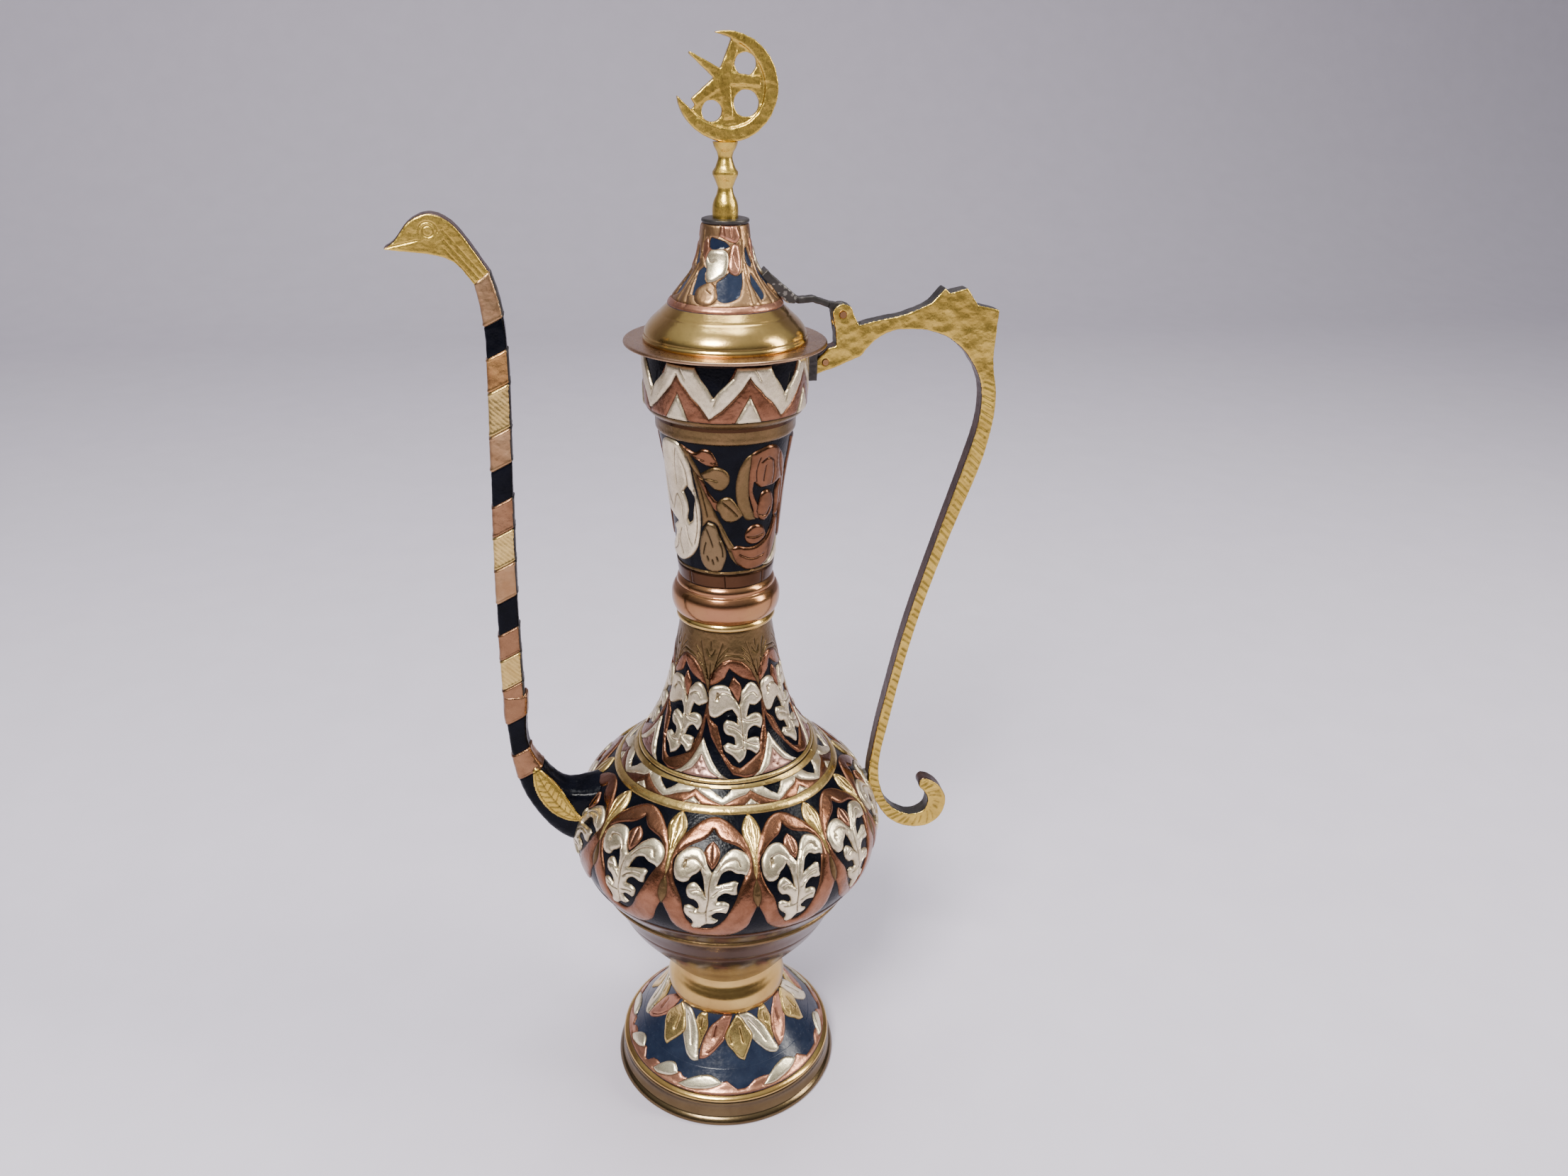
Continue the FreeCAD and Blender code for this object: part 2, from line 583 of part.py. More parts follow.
    # Solder that fills the wedge between the belly and the handle.
    blob = doc.addObject("Part::Box", "solder_blank")
    blob.Length = 7.0
    blob.Height = 6.4
    bind(blob, "Width", "sizes.handle_thickness - 2")
    blob.Placement = FreeCAD.Placement(Vector(62.0, 0, 151.4), Rotation())
    bind(blob, "Placement.Base.y", "1 - sizes.handle_thickness / 2")
    belly = doc.addObject("Part::Feature", "belly_fit")
    belly.Shape = belly_solid()
    fits = doc.addObject("Part::MultiFuse", "solder_fits")
    fits.Shapes = [belly, casting]
    solder = doc.addObject("Part::Cut", "handle_solder")
    solder.Base = blob
    solder.Tool = fits
    keep(solder, "handle_solder")
    return belly


def make_lever():
    """A bent strap: round tongue on the rivet, arm, and a paddle soldered to the cone."""
    pivot = (size("pivot_x"), size("pivot_z"))
    arm = padded("lever_arm", [[a, b] for a, b in (
        ((40.2, 375.9), (34.2, 378.0)), ((34.2, 378.0), (28.4, 377.6)), ((28.4, 377.6), (25.0, 378.9)),
        ((25.0, 378.9), (26.2, 381.3)), ((26.2, 381.3), (28.8, 380.0)), ((28.8, 380.0), (34.4, 380.4)),
        ((34.4, 380.4), (40.9, 378.0)), ((40.9, 378.0), (40.2, 375.9)))], "sizes.lever_width")
    tongue = padded("lever_tongue", [[a, b] for a, b in (
        ((40.2, 375.9), (pivot[0], pivot[1] - 2.0)), ((pivot[0], pivot[1] - 2.0), (pivot[0], pivot[1] + 4.0)),
        ((pivot[0], pivot[1] + 4.0), (40.9, 378.0)), ((40.9, 378.0), (40.2, 375.9)))], "sizes.knuckle_width")
    paddle = padded("lever_paddle", [[a, b] for a, b in (
        ((12.4, 388.0), (15.6, 391.2)), ((15.6, 391.2), (17.6, 388.9)), ((17.6, 388.9), (27.6, 380.6)),
        ((27.6, 380.6), (26.6, 378.1)), ((26.6, 378.1), (23.2, 378.6)), ((23.2, 378.6), (12.4, 388.0)))],
        "sizes.paddle_width")
    knuckle = cylinder_across("lever_knuckle", "sizes.knuckle_radius", "sizes.knuckle_width",
                              "sizes.pivot_x", "sizes.pivot_z")
    strap = doc.addObject("Part::MultiFuse", "lever_strap")
    strap.Shapes = [arm, tongue, paddle, knuckle]
    bore = cylinder_across("lever_bore", "sizes.pin_radius + sizes.pin_clearance",
                           "sizes.handle_thickness * 2", "sizes.pivot_x", "sizes.pivot_z")
    seat = doc.addObject("Part::Feature", "cone_fit")
    edges = [curve_through(run).toShape() for run in to_axis([cone_outline()])]
    face = Part.Face(Part.Wire(edges))
    face.rotate(Vector(0, 0, 0), Vector(1, 0, 0), 90)
    seat.Shape = face.revolve(Vector(0, 0, 0), Vector(0, 0, 1), 360)
    tools = doc.addObject("Part::MultiFuse", "lever_tools")
    tools.Shapes = [bore, seat]
    lever = doc.addObject("Part::Cut", "lid_lever")
    lever.Base = strap
    lever.Tool = tools
    keep(lever, "lid_lever")


# ---------------------------------------------------------------- spout

def rounded_section(centre, half_across, half_deep, along):
    """A closed section, square to along, rounded like a worn square bar."""
    side = Vector(0, 1, 0)
    deep = along.cross(side).normalize()
    corner = 0.84
    signs = ((1, 0), (corner, corner), (0, 1), (-corner, corner), (-1, 0), (-corner, -corner), (0, -1),
             (corner, -corner))
    points = [centre + deep * (half_deep * a) + side * (half_across * b) for a, b in signs]
    curve = Part.BSplineCurve()
    curve.interpolate(points, PeriodicFlag=True)
    return Part.Wire([curve.toShape()])


def loft_along(sections):
    """A solid through sections of (low point, high point, half width across)."""
    wires = []
    for low, high, half_across in sections:
        a = Vector(low[0], 0, low[1])
        b = Vector(high[0], 0, high[1])
        chord = b - a
        along = Vector(0, 1, 0).cross(chord).normalize()
        wires.append(rounded_section((a + b) * 0.5, half_across, chord.Length / 2, along))
    return Part.makeLoft(wires, True, False)


def make_spout(belly):
    seam = size("spout_seam")
    half = size("spout_width") / 2
    bore = size("spout_bore")

    # The root: cast on a growing rounded section from the belly up to the seam.
    outside = loft_along([
        ((-96.1, seam), (-87.5, seam), half),
        ((-96.0, 200.0), (-87.2, 199.2), half),
        ((-95.0, 186.0), (-85.2, 184.0), half + 0.4),
        ((-92.0, 168.5), (-80.4, 176.4), half + 1.6),
        ((-86.2, 155.0), (-75.2, 169.4), half + 3.2),
        ((-78.5, 144.6), (-69.0, 166.2), half + 4.8),
        ((-70.0, 138.6), (-62.0, 166.6), half + 6.2),
        ((-60.0, 136.0), (-50.0, 168.0), half + 7.0),
    ])
    channel = loft_along([
        ((-91.8 - bore, seam + 1.0), (-91.8 + bore, seam + 1.0), bore),
        ((-91.6 - bore, 200.0), (-91.6 + bore, 199.4), bore),
        ((-92.4, 185.4), (-87.8, 184.4), bore + 0.4),
        ((-89.0, 170.0), (-83.0, 174.6), bore + 1.4),
        ((-83.8, 158.0), (-76.6, 166.6), bore + 2.8),
        ((-76.6, 148.6), (-69.8, 162.4), bore + 4.4),
        ((-67.0, 144.0), (-61.0, 161.4), bore + 5.4),
        ((-56.0, 142.0), (-50.0, 161.0), bore + 5.8),
    ])
    root = doc.addObject("Part::Feature", "spout_root")
    root.Shape = outside.cut(belly.Shape).cut(channel)
    keep(root, "spout_root")
    channel_tool = doc.addObject("Part::Feature", "spout_channel")
    channel_tool.Shape = channel
    shell = next(node for node in NODES if node.Label == "belly_shell")
    NODES.remove(shell)
    shell.Label = "belly_shell_blank"
    pierced = doc.addObject("Part::Cut", "belly_pierced")
    pierced.Base = shell
    pierced.Tool = channel_tool
    keep(pierced, "belly_shell")

    # The tube: a straight-sided casting with rounded long edges.
    outer_curve = [(-96.1, seam), (-96.0, 235.0), (-95.6, 256.0), (-94.6, 285.0), (-93.4, 312.0),
                   (-92.2, 336.0), (-91.3, 356.0), (-91.2, 369.0), (-92.0, 379.6), (-93.4, 387.2)]
    inner_curve = [(-87.6, 391.6), (-85.9, 385.6), (-84.2, 377.0), (-83.4, 366.0), (-83.4, 355.0),
                   (-84.1, 336.0), (-85.0, 314.0), (-86.0, 290.0), (-86.9, 262.0), (-87.3, 240.0), (-87.5, seam)]
    runs = [outer_curve, [outer_curve[-1], inner_curve[0]], inner_curve, [inner_curve[-1], outer_curve[0]]]
    tube = padded("spout_tube_casting", runs, "sizes.spout_width")

    # The bird's head: rounded crown, flat cheeks, a beak that the channel opens from.
    crown = [inner_curve[0], (-91.2, 397.4), (-94.9, 403.2), (-99.2, 408.6), (-103.4, 411.5),
             (-107.6, 412.4), (-111.5, 411.4), (-115.4, 408.8), (-119.6, 403.6), (-123.8, 400.6)]
    beak_tip = (-123.6, 399.9)
    throat = [beak_tip, (-117.6, 399.2), (-108.2, 398.1), (-102.6, 396.6), (-98.7, 394.2), (-96.1, 391.0),
              outer_curve[-1]]
    head = padded("spout_head_casting", [crown, [crown[-1], beak_tip], throat, [throat[-1], crown[0]]],
                  "sizes.spout_width")

    bends = [(-91.8, seam - 1.0), (-91.6, 240.0), (-90.9, 270.0), (-89.6, 300.0), (-88.1, 335.0),
             (-87.3, 358.0), (-87.8, 374.0), (-90.5, 389.4), (-95.2, 397.6), (-101.0, 402.2),
             (-107.5, 403.4), (-113.5, 401.6), (-118.6, 397.4)]
    path = Part.BSplineCurve()
    path.interpolate([Vector(x, 0, z) for x, z in bends])
    start = Vector(bends[0][0], 0, bends[0][1])
    circle = Part.Wire([Part.makeCircle(bore, start, path.tangent(path.FirstParameter)[0])])
    channel_bore = doc.addObject("Part::Feature", "spout_bore_tool")
    channel_bore.Shape = Part.Wire([path.toShape()]).makePipeShell([circle], True, False)

    for casting, label, rounding, shortest in ((tube, "spout_tube", 1.6, 100), (head, "spout_head", 1.0, 40)):
        along = [i for i, edge in enumerate(casting.Shape.Edges, start=1) if edge.Length > shortest]
        soft = doc.addObject("Part::Fillet", label + "_rounded")
        soft.Base = casting
        soft.Edges = [(i, rounding, rounding) for i in along]
        doc.recompute()
        bored = doc.addObject("Part::Cut", label)
        bored.Base = soft
        bored.Tool = channel_bore
        keep(bored, label)


# ---------------------------------------------------------------- assembly

make_foot()
make_vessel()
make_neck()
make_lid()
make_finial()
make_crescent()
belly_fit = make_handle()
make_lever()
doc.recompute()
make_spout(belly_fit)
doc.recompute()

faults = [obj.Name for obj in doc.Objects if "Invalid" in obj.State or "Error" in obj.State]
for node in NODES:
    if node.Shape.isNull() or not node.Shape.isValid():
        faults.append(node.Label)
if faults:
    raise RuntimeError("failed objects: " + ", ".join(faults))

os.makedirs("parts", exist_ok=True)
for node in NODES:
    box = node.Shape.BoundBox
    print("%-16s solids %d volume %8.0f z %.1f to %.1f" % (
        node.Label, len(node.Shape.Solids), node.Shape.Volume, box.ZMin, box.ZMax))
    node.Shape.exportStep("parts/%s.step" % node.Label)
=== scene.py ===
"""Coffee pot of copper, brass and enamel: the finished looks round the CAD frame.

Lengths are in millimetres until a mesh is made. Azimuth is in degrees from -Y, growing toward +X,
and "up the profile" is the distance along a part's outer profile from its lower end.
"""
import math

import bmesh
import bpy
import numpy as np
from mathutils import Matrix, Vector
from mathutils.geometry import delaunay_2d_cdt


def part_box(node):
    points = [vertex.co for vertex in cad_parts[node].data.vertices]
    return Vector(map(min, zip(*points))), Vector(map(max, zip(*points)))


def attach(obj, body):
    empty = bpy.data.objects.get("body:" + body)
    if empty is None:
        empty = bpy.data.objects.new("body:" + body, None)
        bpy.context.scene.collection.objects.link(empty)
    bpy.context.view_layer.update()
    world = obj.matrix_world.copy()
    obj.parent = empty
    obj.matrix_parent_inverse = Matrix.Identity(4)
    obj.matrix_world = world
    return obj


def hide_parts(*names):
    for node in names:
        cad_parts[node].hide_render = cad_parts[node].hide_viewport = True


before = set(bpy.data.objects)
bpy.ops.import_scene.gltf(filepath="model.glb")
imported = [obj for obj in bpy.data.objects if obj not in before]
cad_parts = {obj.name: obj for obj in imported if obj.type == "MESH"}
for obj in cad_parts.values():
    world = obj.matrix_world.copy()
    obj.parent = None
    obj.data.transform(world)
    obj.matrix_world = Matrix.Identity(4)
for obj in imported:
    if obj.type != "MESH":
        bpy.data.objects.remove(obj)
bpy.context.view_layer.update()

MM = 0.001
WELD = 0.004  # mm, gap under which two vertices become one

# ---------------------------------------------------------------- materials


class Recipe:
    """A small helper that adds and links shader nodes."""

    def __init__(self, name):
        self.material = bpy.data.materials.new(name)
        self.material.use_nodes = True
        self.tree = self.material.node_tree
        self.tree.nodes.clear()
        self.shader = self.node("ShaderNodeBsdfPrincipled")
        output = self.node("ShaderNodeOutputMaterial")
        self.link(self.shader.outputs[0], output.inputs["Surface"])
        self.place = self.node("ShaderNodeTexCoord").outputs["Object"]

    def node(self, kind):
        return self.tree.nodes.new(kind)

    def link(self, a, b):
        self.tree.links.new(a, b)

    def stretched(self, scale):
        mapping = self.node("ShaderNodeMapping")
        mapping.inputs["Scale"].default_value = scale
        self.link(self.place, mapping.inputs["Vector"])
        return mapping.outputs[0]

    def noise(self, grain, detail=3.0, rough=0.55, place=None, distortion=0.0):
        """Noise whose blobs are about grain mm wide, from 0 to 1."""
        noise = self.node("ShaderNodeTexNoise")
        noise.inputs["Scale"].default_value = 1.0 / (grain * MM)
        noise.inputs["Detail"].default_value = detail
        noise.inputs["Roughness"].default_value = rough
        noise.inputs["Distortion"].default_value = distortion
        self.link(place or self.place, noise.inputs["Vector"])
        return noise.outputs[0]

    def cells(self, grain):
        """Distance to the middle of cells about grain mm wide."""
        voronoi = self.node("ShaderNodeTexVoronoi")
        voronoi.inputs["Scale"].default_value = 1.0 / (grain * MM)
        self.link(self.place, voronoi.inputs["Vector"])
        return voronoi.outputs["Distance"]

    def attribute(self, name):
        attribute = self.node("ShaderNodeAttribute")
        attribute.attribute_name = name
        return attribute.outputs["Fac"]

    def ramp(self, value, low, high, to_low=0.0, to_high=1.0):
        """The value taken from low..high to to_low..to_high, and held at the ends."""
        ranged = self.node("ShaderNodeMapRange")
        ranged.inputs["From Min"].default_value = low
        ranged.inputs["From Max"].default_value = high
        ranged.inputs["To Min"].default_value = to_low
        ranged.inputs["To Max"].default_value = to_high
        self.link(value, ranged.inputs["Value"])
        return ranged.outputs[0]

    def math(self, operation, a, b):
        math_node = self.node("ShaderNodeMath")
        math_node.operation = operation
        for socket, value in zip(math_node.inputs, (a, b)):
            if isinstance(value, (int, float)):
                socket.default_value = value
            else:
                self.link(value, socket)
        return math_node.outputs[0]

    def mix(self, amount, a, b):
        """Colour a where amount is 0 and b where it is 1."""
        mixer = self.node("ShaderNodeMix")
        mixer.data_type = "RGBA"
        self.link(amount, mixer.inputs[0])
        for socket, value in ((mixer.inputs[6], a), (mixer.inputs[7], b)):
            if isinstance(value, tuple):
                socket.default_value = (*value, 1.0)
            else:
                self.link(value, socket)
        return mixer.outputs[2]

    def bump(self, *layers):
        """Bump layers of (height, depth in mm), one on top of the other."""
        normal = None
        for height, depth in layers:
            bump = self.node("ShaderNodeBump")
            bump.inputs["Strength"].default_value = 1.0
            bump.inputs["Distance"].default_value = depth * MM
            self.link(height, bump.inputs["Height"])
            if normal:
                self.link(normal, bump.inputs["Normal"])
            normal = bump.outputs[0]
        self.link(normal, self.shader.inputs["Normal"])


FINISHES = {}


def metal(name, base, second, patina_and_shade, rough=(0.22, 0.42), metallic=1.0, dents=0.1, scratch=0.012, spun=False,
          tint_grain=9.0, stain=0.35):
    """Worn metal: two tints, stains, painted shade and patina in the recesses, fine scratches and a soft
    hammered surface.
    """
    r = Recipe(name)
    broad = r.noise(tint_grain, detail=4.0, distortion=0.6)
    colour = r.mix(r.ramp(broad, 0.35, 0.68), base, second)
    spots = r.noise(2.2, detail=5.0, rough=0.7)
    stained = r.math("MULTIPLY", r.ramp(spots, 0.52, 0.78), stain)
    colour = r.mix(stained, colour, patina_and_shade)
    tone = r.attribute("tone")
    colour = r.mix(r.ramp(tone, 0.0, 1.0), colour, tuple(min(1.0, 1.25 * c + 0.03) for c in base))
    colour = r.mix(r.ramp(tone, 0.0, -1.0), colour, tuple(0.55 * c for c in second))
    # The recess attribute darkens the colour: painted shade for the light that hollows and outlines miss,
    # and the patina that gathers there.
    recess = r.attribute("recess")
    recess_shade_and_patina = r.math("MULTIPLY", recess, r.ramp(r.noise(1.3), 0.25, 0.6, 0.55, 1.0))
    colour = r.mix(recess_shade_and_patina, colour, tuple(0.45 * c for c in patina_and_shade))
    r.link(colour, r.shader.inputs["Base Color"])
    r.shader.inputs["Metallic"].default_value = metallic
    lines = r.stretched((1.0, 1.0, 9.0)) if spun else r.stretched((5.0, 5.0, 1.0))
    streaks = r.noise(1.1, detail=6.0, rough=0.75, place=lines)
    roughness = r.math("ADD", r.ramp(streaks, 0.3, 0.7, rough[0], rough[1]), r.math("MULTIPLY", recess_shade_and_patina, 0.3))
    r.link(roughness, r.shader.inputs["Roughness"])
    r.bump((r.noise(4.5, detail=2.0), dents * 2), (r.noise(1.4, detail=3.0), dents), (streaks, scratch))
    FINISHES[name] = r.material
    return r.material


def enamel(name, base, second, rough=(0.14, 0.3), stipple=0.03, shine=0.3):
    """Glossy dark lacquer laid in the recesses, with a stippled ground and dust in its dimples."""
    r = Recipe(name)
    cloud = r.noise(6.0, detail=4.0)
    colour = r.mix(r.ramp(cloud, 0.35, 0.7), base, second)
    dust = r.math("MULTIPLY", r.ramp(r.noise(0.7, detail=4.0), 0.58, 0.8), 0.25)
    colour = r.mix(dust, colour, tuple(0.5 * c + 0.006 for c in second))
    r.link(colour, r.shader.inputs["Base Color"])
    r.link(r.ramp(r.noise(1.8, detail=4.0), 0.3, 0.7, rough[0], rough[1]), r.shader.inputs["Roughness"])
    r.shader.inputs["Specular IOR Level"].default_value = shine
    r.bump((r.cells(1.1), stipple * 1.6), (r.noise(0.5, detail=2.0), stipple * 0.6))
    FINISHES[name] = r.material
    return r.material


def make_finishes():
    turned = {"dents": 0.02, "scratch": 0.006, "spun": True, "tint_grain": 22.0, "stain": 0.2}
    metal("silver", (0.86, 0.74, 0.52), (0.60, 0.50, 0.33), (0.16, 0.10, 0.05), (0.2, 0.36), metallic=0.94,
          dents=0.045)
    metal("copper", (0.30, 0.135, 0.076), (0.17, 0.07, 0.035), (0.035, 0.015, 0.009), (0.16, 0.34))
    metal("pink_copper", (0.55, 0.26, 0.16), (0.42, 0.19, 0.115), (0.12, 0.05, 0.03), (0.22, 0.42))
    metal("brass", (0.70, 0.50, 0.18), (0.50, 0.34, 0.11), (0.1, 0.055, 0.018), (0.16, 0.34))
    metal("russet", (0.20, 0.088, 0.045), (0.13, 0.06, 0.03), (0.035, 0.015, 0.009), (0.1, 0.22), dents=0.05)
    metal("olive", (0.13, 0.085, 0.036), (0.18, 0.11, 0.05), (0.04, 0.022, 0.008), (0.22, 0.4))
    metal("tan", (0.42, 0.26, 0.135), (0.33, 0.18, 0.085), (0.09, 0.045, 0.02), (0.24, 0.44))
    metal("lilac", (0.36, 0.21, 0.18), (0.42, 0.22, 0.155), (0.12, 0.06, 0.04), (0.24, 0.44))
    enamel("black", (0.001, 0.0012, 0.0024), (0.0024, 0.0028, 0.0055), shine=0.07)
    enamel("navy", (0.006, 0.010, 0.024), (0.012, 0.018, 0.036), stipple=0.012, shine=0.3)
    metal("spun_brass", (0.62, 0.42, 0.14), (0.46, 0.28, 0.09), (0.14, 0.07, 0.03), (0.12, 0.26), **turned)
    # A darker copy of spun brass: painted shade on the foot rim below its shoulder
    metal("spun_brass_shade", (0.17, 0.12, 0.06), (0.12, 0.08, 0.04), (0.04, 0.022, 0.01), (0.16, 0.3), **turned)
    metal("spun_brown", (0.075, 0.035, 0.018), (0.055, 0.026, 0.013), (0.02, 0.01, 0.005), (0.14, 0.3),
          **turned)
    metal("amber", (0.48, 0.26, 0.09), (0.38, 0.19, 0.07), (0.07, 0.028, 0.012), (0.2, 0.38))
    metal("umber", (0.30, 0.155, 0.08), (0.22, 0.11, 0.055), (0.05, 0.022, 0.012), (0.2, 0.38))
    metal("spun_pink", (0.40, 0.25, 0.15), (0.30, 0.18, 0.10), (0.1, 0.045, 0.02), (0.22, 0.38), **turned)
    metal("spun_copper", (0.36, 0.17, 0.085), (0.40, 0.21, 0.09), (0.07, 0.028, 0.014), (0.12, 0.25),
          **turned)
    metal("gold", (0.64, 0.44, 0.095), (0.48, 0.32, 0.065), (0.08, 0.045, 0.013), (0.22, 0.4), dents=0.14)
    metal("iron", (0.035, 0.032, 0.03), (0.07, 0.062, 0.058), (0.012, 0.01, 0.009), (0.34, 0.56),
          metallic=0.8)
    metal("plum", (0.05, 0.028, 0.024), (0.09, 0.05, 0.04), (0.016, 0.009, 0.008), (0.3, 0.48), metallic=0.8)
    metal("solder", (0.33, 0.31, 0.28), (0.2, 0.19, 0.17), (0.05, 0.04, 0.035), (0.34, 0.52), dents=0.2)


# ---------------------------------------------------------------- curves and profiles


def through(points, step=0.8):
    """Points about every step mm on a smooth curve through the given ones."""
    p = np.array(points, float)
    gaps = np.linalg.norm(np.diff(p, axis=0), axis=1)
    if len(p) == 2:
        tangents = np.repeat((p[1:] - p[:1]) / gaps[0], 2, axis=0)
    else:
        slopes = np.diff(p, axis=0) / gaps[:, None]
        weighed = slopes[:-1] * gaps[1:, None] + slopes[1:] * gaps[:-1, None]
        inner = weighed / (gaps[1:] + gaps[:-1])[:, None]
        first = 1.5 * slopes[:1] - 0.5 * inner[:1]
        last = 1.5 * slopes[-1:] - 0.5 * inner[-1:]
        tangents = np.vstack([first, inner, last])
    pieces = []
    for a, b, ta, tb, gap in zip(p, p[1:], tangents, tangents[1:], gaps):
        pieces.append(hermite(a, b, ta * gap, tb * gap, gap, step)[:-1])
    return np.vstack(pieces + [p[-1:]])


def hermite(a, b, ta, tb, gap, step):
    t = np.linspace(0, 1, max(2, int(math.ceil(gap / step)) + 1))[:, None]
    return (a * (2 * t ** 3 - 3 * t ** 2 + 1) + ta * (t ** 3 - 2 * t ** 2 + t)
            + b * (3 * t ** 2 - 2 * t ** 3) + tb * (t ** 3 - t ** 2))


def closed_through(points, step, corner=62.0):
    """A closed smooth curve through the points, which stays sharp where it turns by more than corner."""
    p = np.array(points, float)
    ahead = np.roll(p, -1, axis=0) - p
    gaps = np.linalg.norm(ahead, axis=1)
    slope = ahead / gaps[:, None]
    before = np.roll(slope, 1, axis=0)
    turn = np.degrees(np.arccos(np.clip((slope * before).sum(1), -1, 1)))
    back_gap = np.roll(gaps, 1)
    smooth = (before * gaps[:, None] + slope * back_gap[:, None]) / (gaps + back_gap)[:, None]
    sharp = (turn > corner)[:, None]
    leaving = np.where(sharp, slope, smooth)
    arriving = np.where(sharp, before, smooth)
    pieces = []
    for i in range(len(p)):
        j = (i + 1) % len(p)
        pieces.append(hermite(p[i], p[j], leaving[i] * gaps[i], arriving[j] * gaps[i], gaps[i], step)[:-1])
    return np.vstack(pieces)


def joined(*runs, step=0.8):
    """One polyline from several runs, which meet end to start."""
    parts = [through(run, step) for run in runs]
    return np.vstack([parts[0]] + [part[1:] for part in parts[1:]])


def outward(line):
    """Unit normals of a polyline of (radius, height), on its right-hand side going up."""
    slope = np.gradient(line, axis=0)
    normal = np.stack([slope[:, 1], -slope[:, 0]], axis=1)
    return normal / np.linalg.norm(normal, axis=1)[:, None]


def lengths(line):
    return np.r_[0, np.cumsum(np.linalg.norm(np.diff(line, axis=0), axis=1))]


def walled(line, wall):
    """The closed section of a sheet wall mm thick under an outer profile."""
    inner = line - outward(line) * wall
    inner[0, 1] = line[0, 1]
    inner[-1, 1] = line[-1, 1]
    inner[:, 0] = np.maximum(inner[:, 0], 0.0)
    coarse = inner[::2] if len(line) % 2 else np.vstack([inner[:-1:2], inner[-1:]])
    return np.vstack([line, coarse[::-1]])


# ---------------------------------------------------------------- meshes and pieces


def mesh_from(name, vertices, faces, finishes, face_finish, values=None, sharp=38.0):
    """An object in metres from vertices in mm and faces, with one material index a face."""
    mesh = bpy.data.meshes.new(name)
    mesh.from_pydata((np.asarray(vertices) * MM).tolist(), [], [list(f) for f in faces])
    for finish in finishes:
        mesh.materials.append(FINISHES[finish])
    mesh.polygons.foreach_set("material_index", np.asarray(face_finish, np.int32))
    for key, value in (values or {}).items():
        layer = mesh.attributes.new(key, "FLOAT", "POINT")
        layer.data.foreach_set("value", np.asarray(value, np.float32))
    work = bmesh.new()
    work.from_mesh(mesh)
    bmesh.ops.remove_doubles(work, verts=work.verts, dist=WELD * MM)
    bmesh.ops.dissolve_degenerate(work, dist=WELD * 0.2 * MM, edges=work.edges)
    bmesh.ops.recalc_face_normals(work, faces=work.faces)
    work.to_mesh(mesh)
    work.free()
    mesh.shade_smooth()
    mesh.set_sharp_from_angle(angle=math.radians(sharp))
    thing = bpy.data.objects.new(name, mesh)
    bpy.context.scene.collection.objects.link(thing)
    return thing


def settle(thing, body, node):
    """The piece rides on its body and stands for its CAD node."""
    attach(thing, body)
    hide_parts(node)
    return thing


def hand_waves(azimuth, height, size, seed=3):
    """Slow uneven waves over a turned surface, which closes on itself round the axis."""
    waves = 5
    local = np.random.default_rng(seed)
    total = np.zeros(np.broadcast(azimuth, height).shape)
    for _ in range(waves):
        turns = local.integers(1, 9)
        pitch = local.uniform(0.04, 0.16)
        total = total + np.sin(turns * azimuth + pitch * height + local.uniform(0, 6.28))
    return size * total / math.sqrt(waves)


def lathe(name, body, section, finishes, zones=(), columns=224, unevenness=0.05):
    """A closed section of (radius, height) turned round the axis.

    Zones are (height, finish index) from the top down, and the first finish is above them all.
    """
    section = np.asarray(section, float)
    azimuth = np.linspace(0, 2 * math.pi, columns, endpoint=False)
    radius = section[:, 0][:, None] + hand_waves(azimuth[None], section[:, 1][:, None], unevenness) * (
        section[:, 0][:, None] > 1.0)
    x = radius * np.sin(azimuth)[None]
    y = -radius * np.cos(azimuth)[None]
    z = np.broadcast_to(section[:, 1][:, None], x.shape)
    vertices = np.stack([x, y, z], axis=-1).reshape(-1, 3)
    rows = len(section)
    faces = []
    face_finish = []
    for row in range(rows):
        below = row * columns
        above = (row + 1) % rows * columns
        middle = (section[row, 1] + section[(row + 1) % rows, 1]) / 2
        finish = 0
        for height, index in zones:
            if middle < height:
                finish = index
        for column in range(columns):
            right = (column + 1) % columns
            faces.append((below + column, below + right, above + right, above + column))
            face_finish.append(finish)
    thing = mesh_from(name, vertices, faces, finishes, face_finish)
    return settle(thing, body, name)


# ---------------------------------------------------------------- relief bands


class Shape:
    """A patch of one finish inside a gore.

    Its outline is in (degrees from the gore's centre, mm up the profile), and rise and bevel are in mm.
    """

    def __init__(self, finish, outline, rise=0.9, bevel=1.0, tone=0.0, smooth=True):
        self.finish = finish
        self.outline = np.array(outline, float)
        self.rise = rise
        self.bevel = bevel
        self.tone = tone
        self.smooth = smooth
        self.all_round = False


def girdle(finish, low, high, rise=0.5, bevel=0.8, tone=0.0):
    """A band of one finish all the way round."""
    shape = Shape(finish, [(-90, low), (90, low), (90, high), (-90, high)], rise, bevel, tone, smooth=False)
    shape.all_round = True
    return shape


def moved(points, across):
    return [(x + across, s) for x, s in points]


def mirrored(points):
    """The outline's left half and its mirror image, from the bottom middle round to the top and back."""
    right = [(-x, s) for x, s in points[::-1] if abs(x) > 1e-6]
    return list(points) + right


def inside(loop, points):
    """Which points lie inside a closed outline."""
    x, y = points[:, 0], points[:, 1]
    low, high = loop.min(0), loop.max(0)
    near = np.flatnonzero((x >= low[0]) & (x <= high[0]) & (y >= low[1]) & (y <= high[1]))
    hit = np.zeros(len(points), bool)
    part = np.zeros(len(near), bool)
    px, py = x[near], y[near]
    for (x0, y0), (x1, y1) in zip(loop, np.roll(loop, -1, axis=0)):
        if y0 != y1:
            part ^= ((y0 > py) != (y1 > py)) & (px < (x1 - x0) * (py - y0) / (y1 - y0) + x0)
    hit[near] = part
    return hit


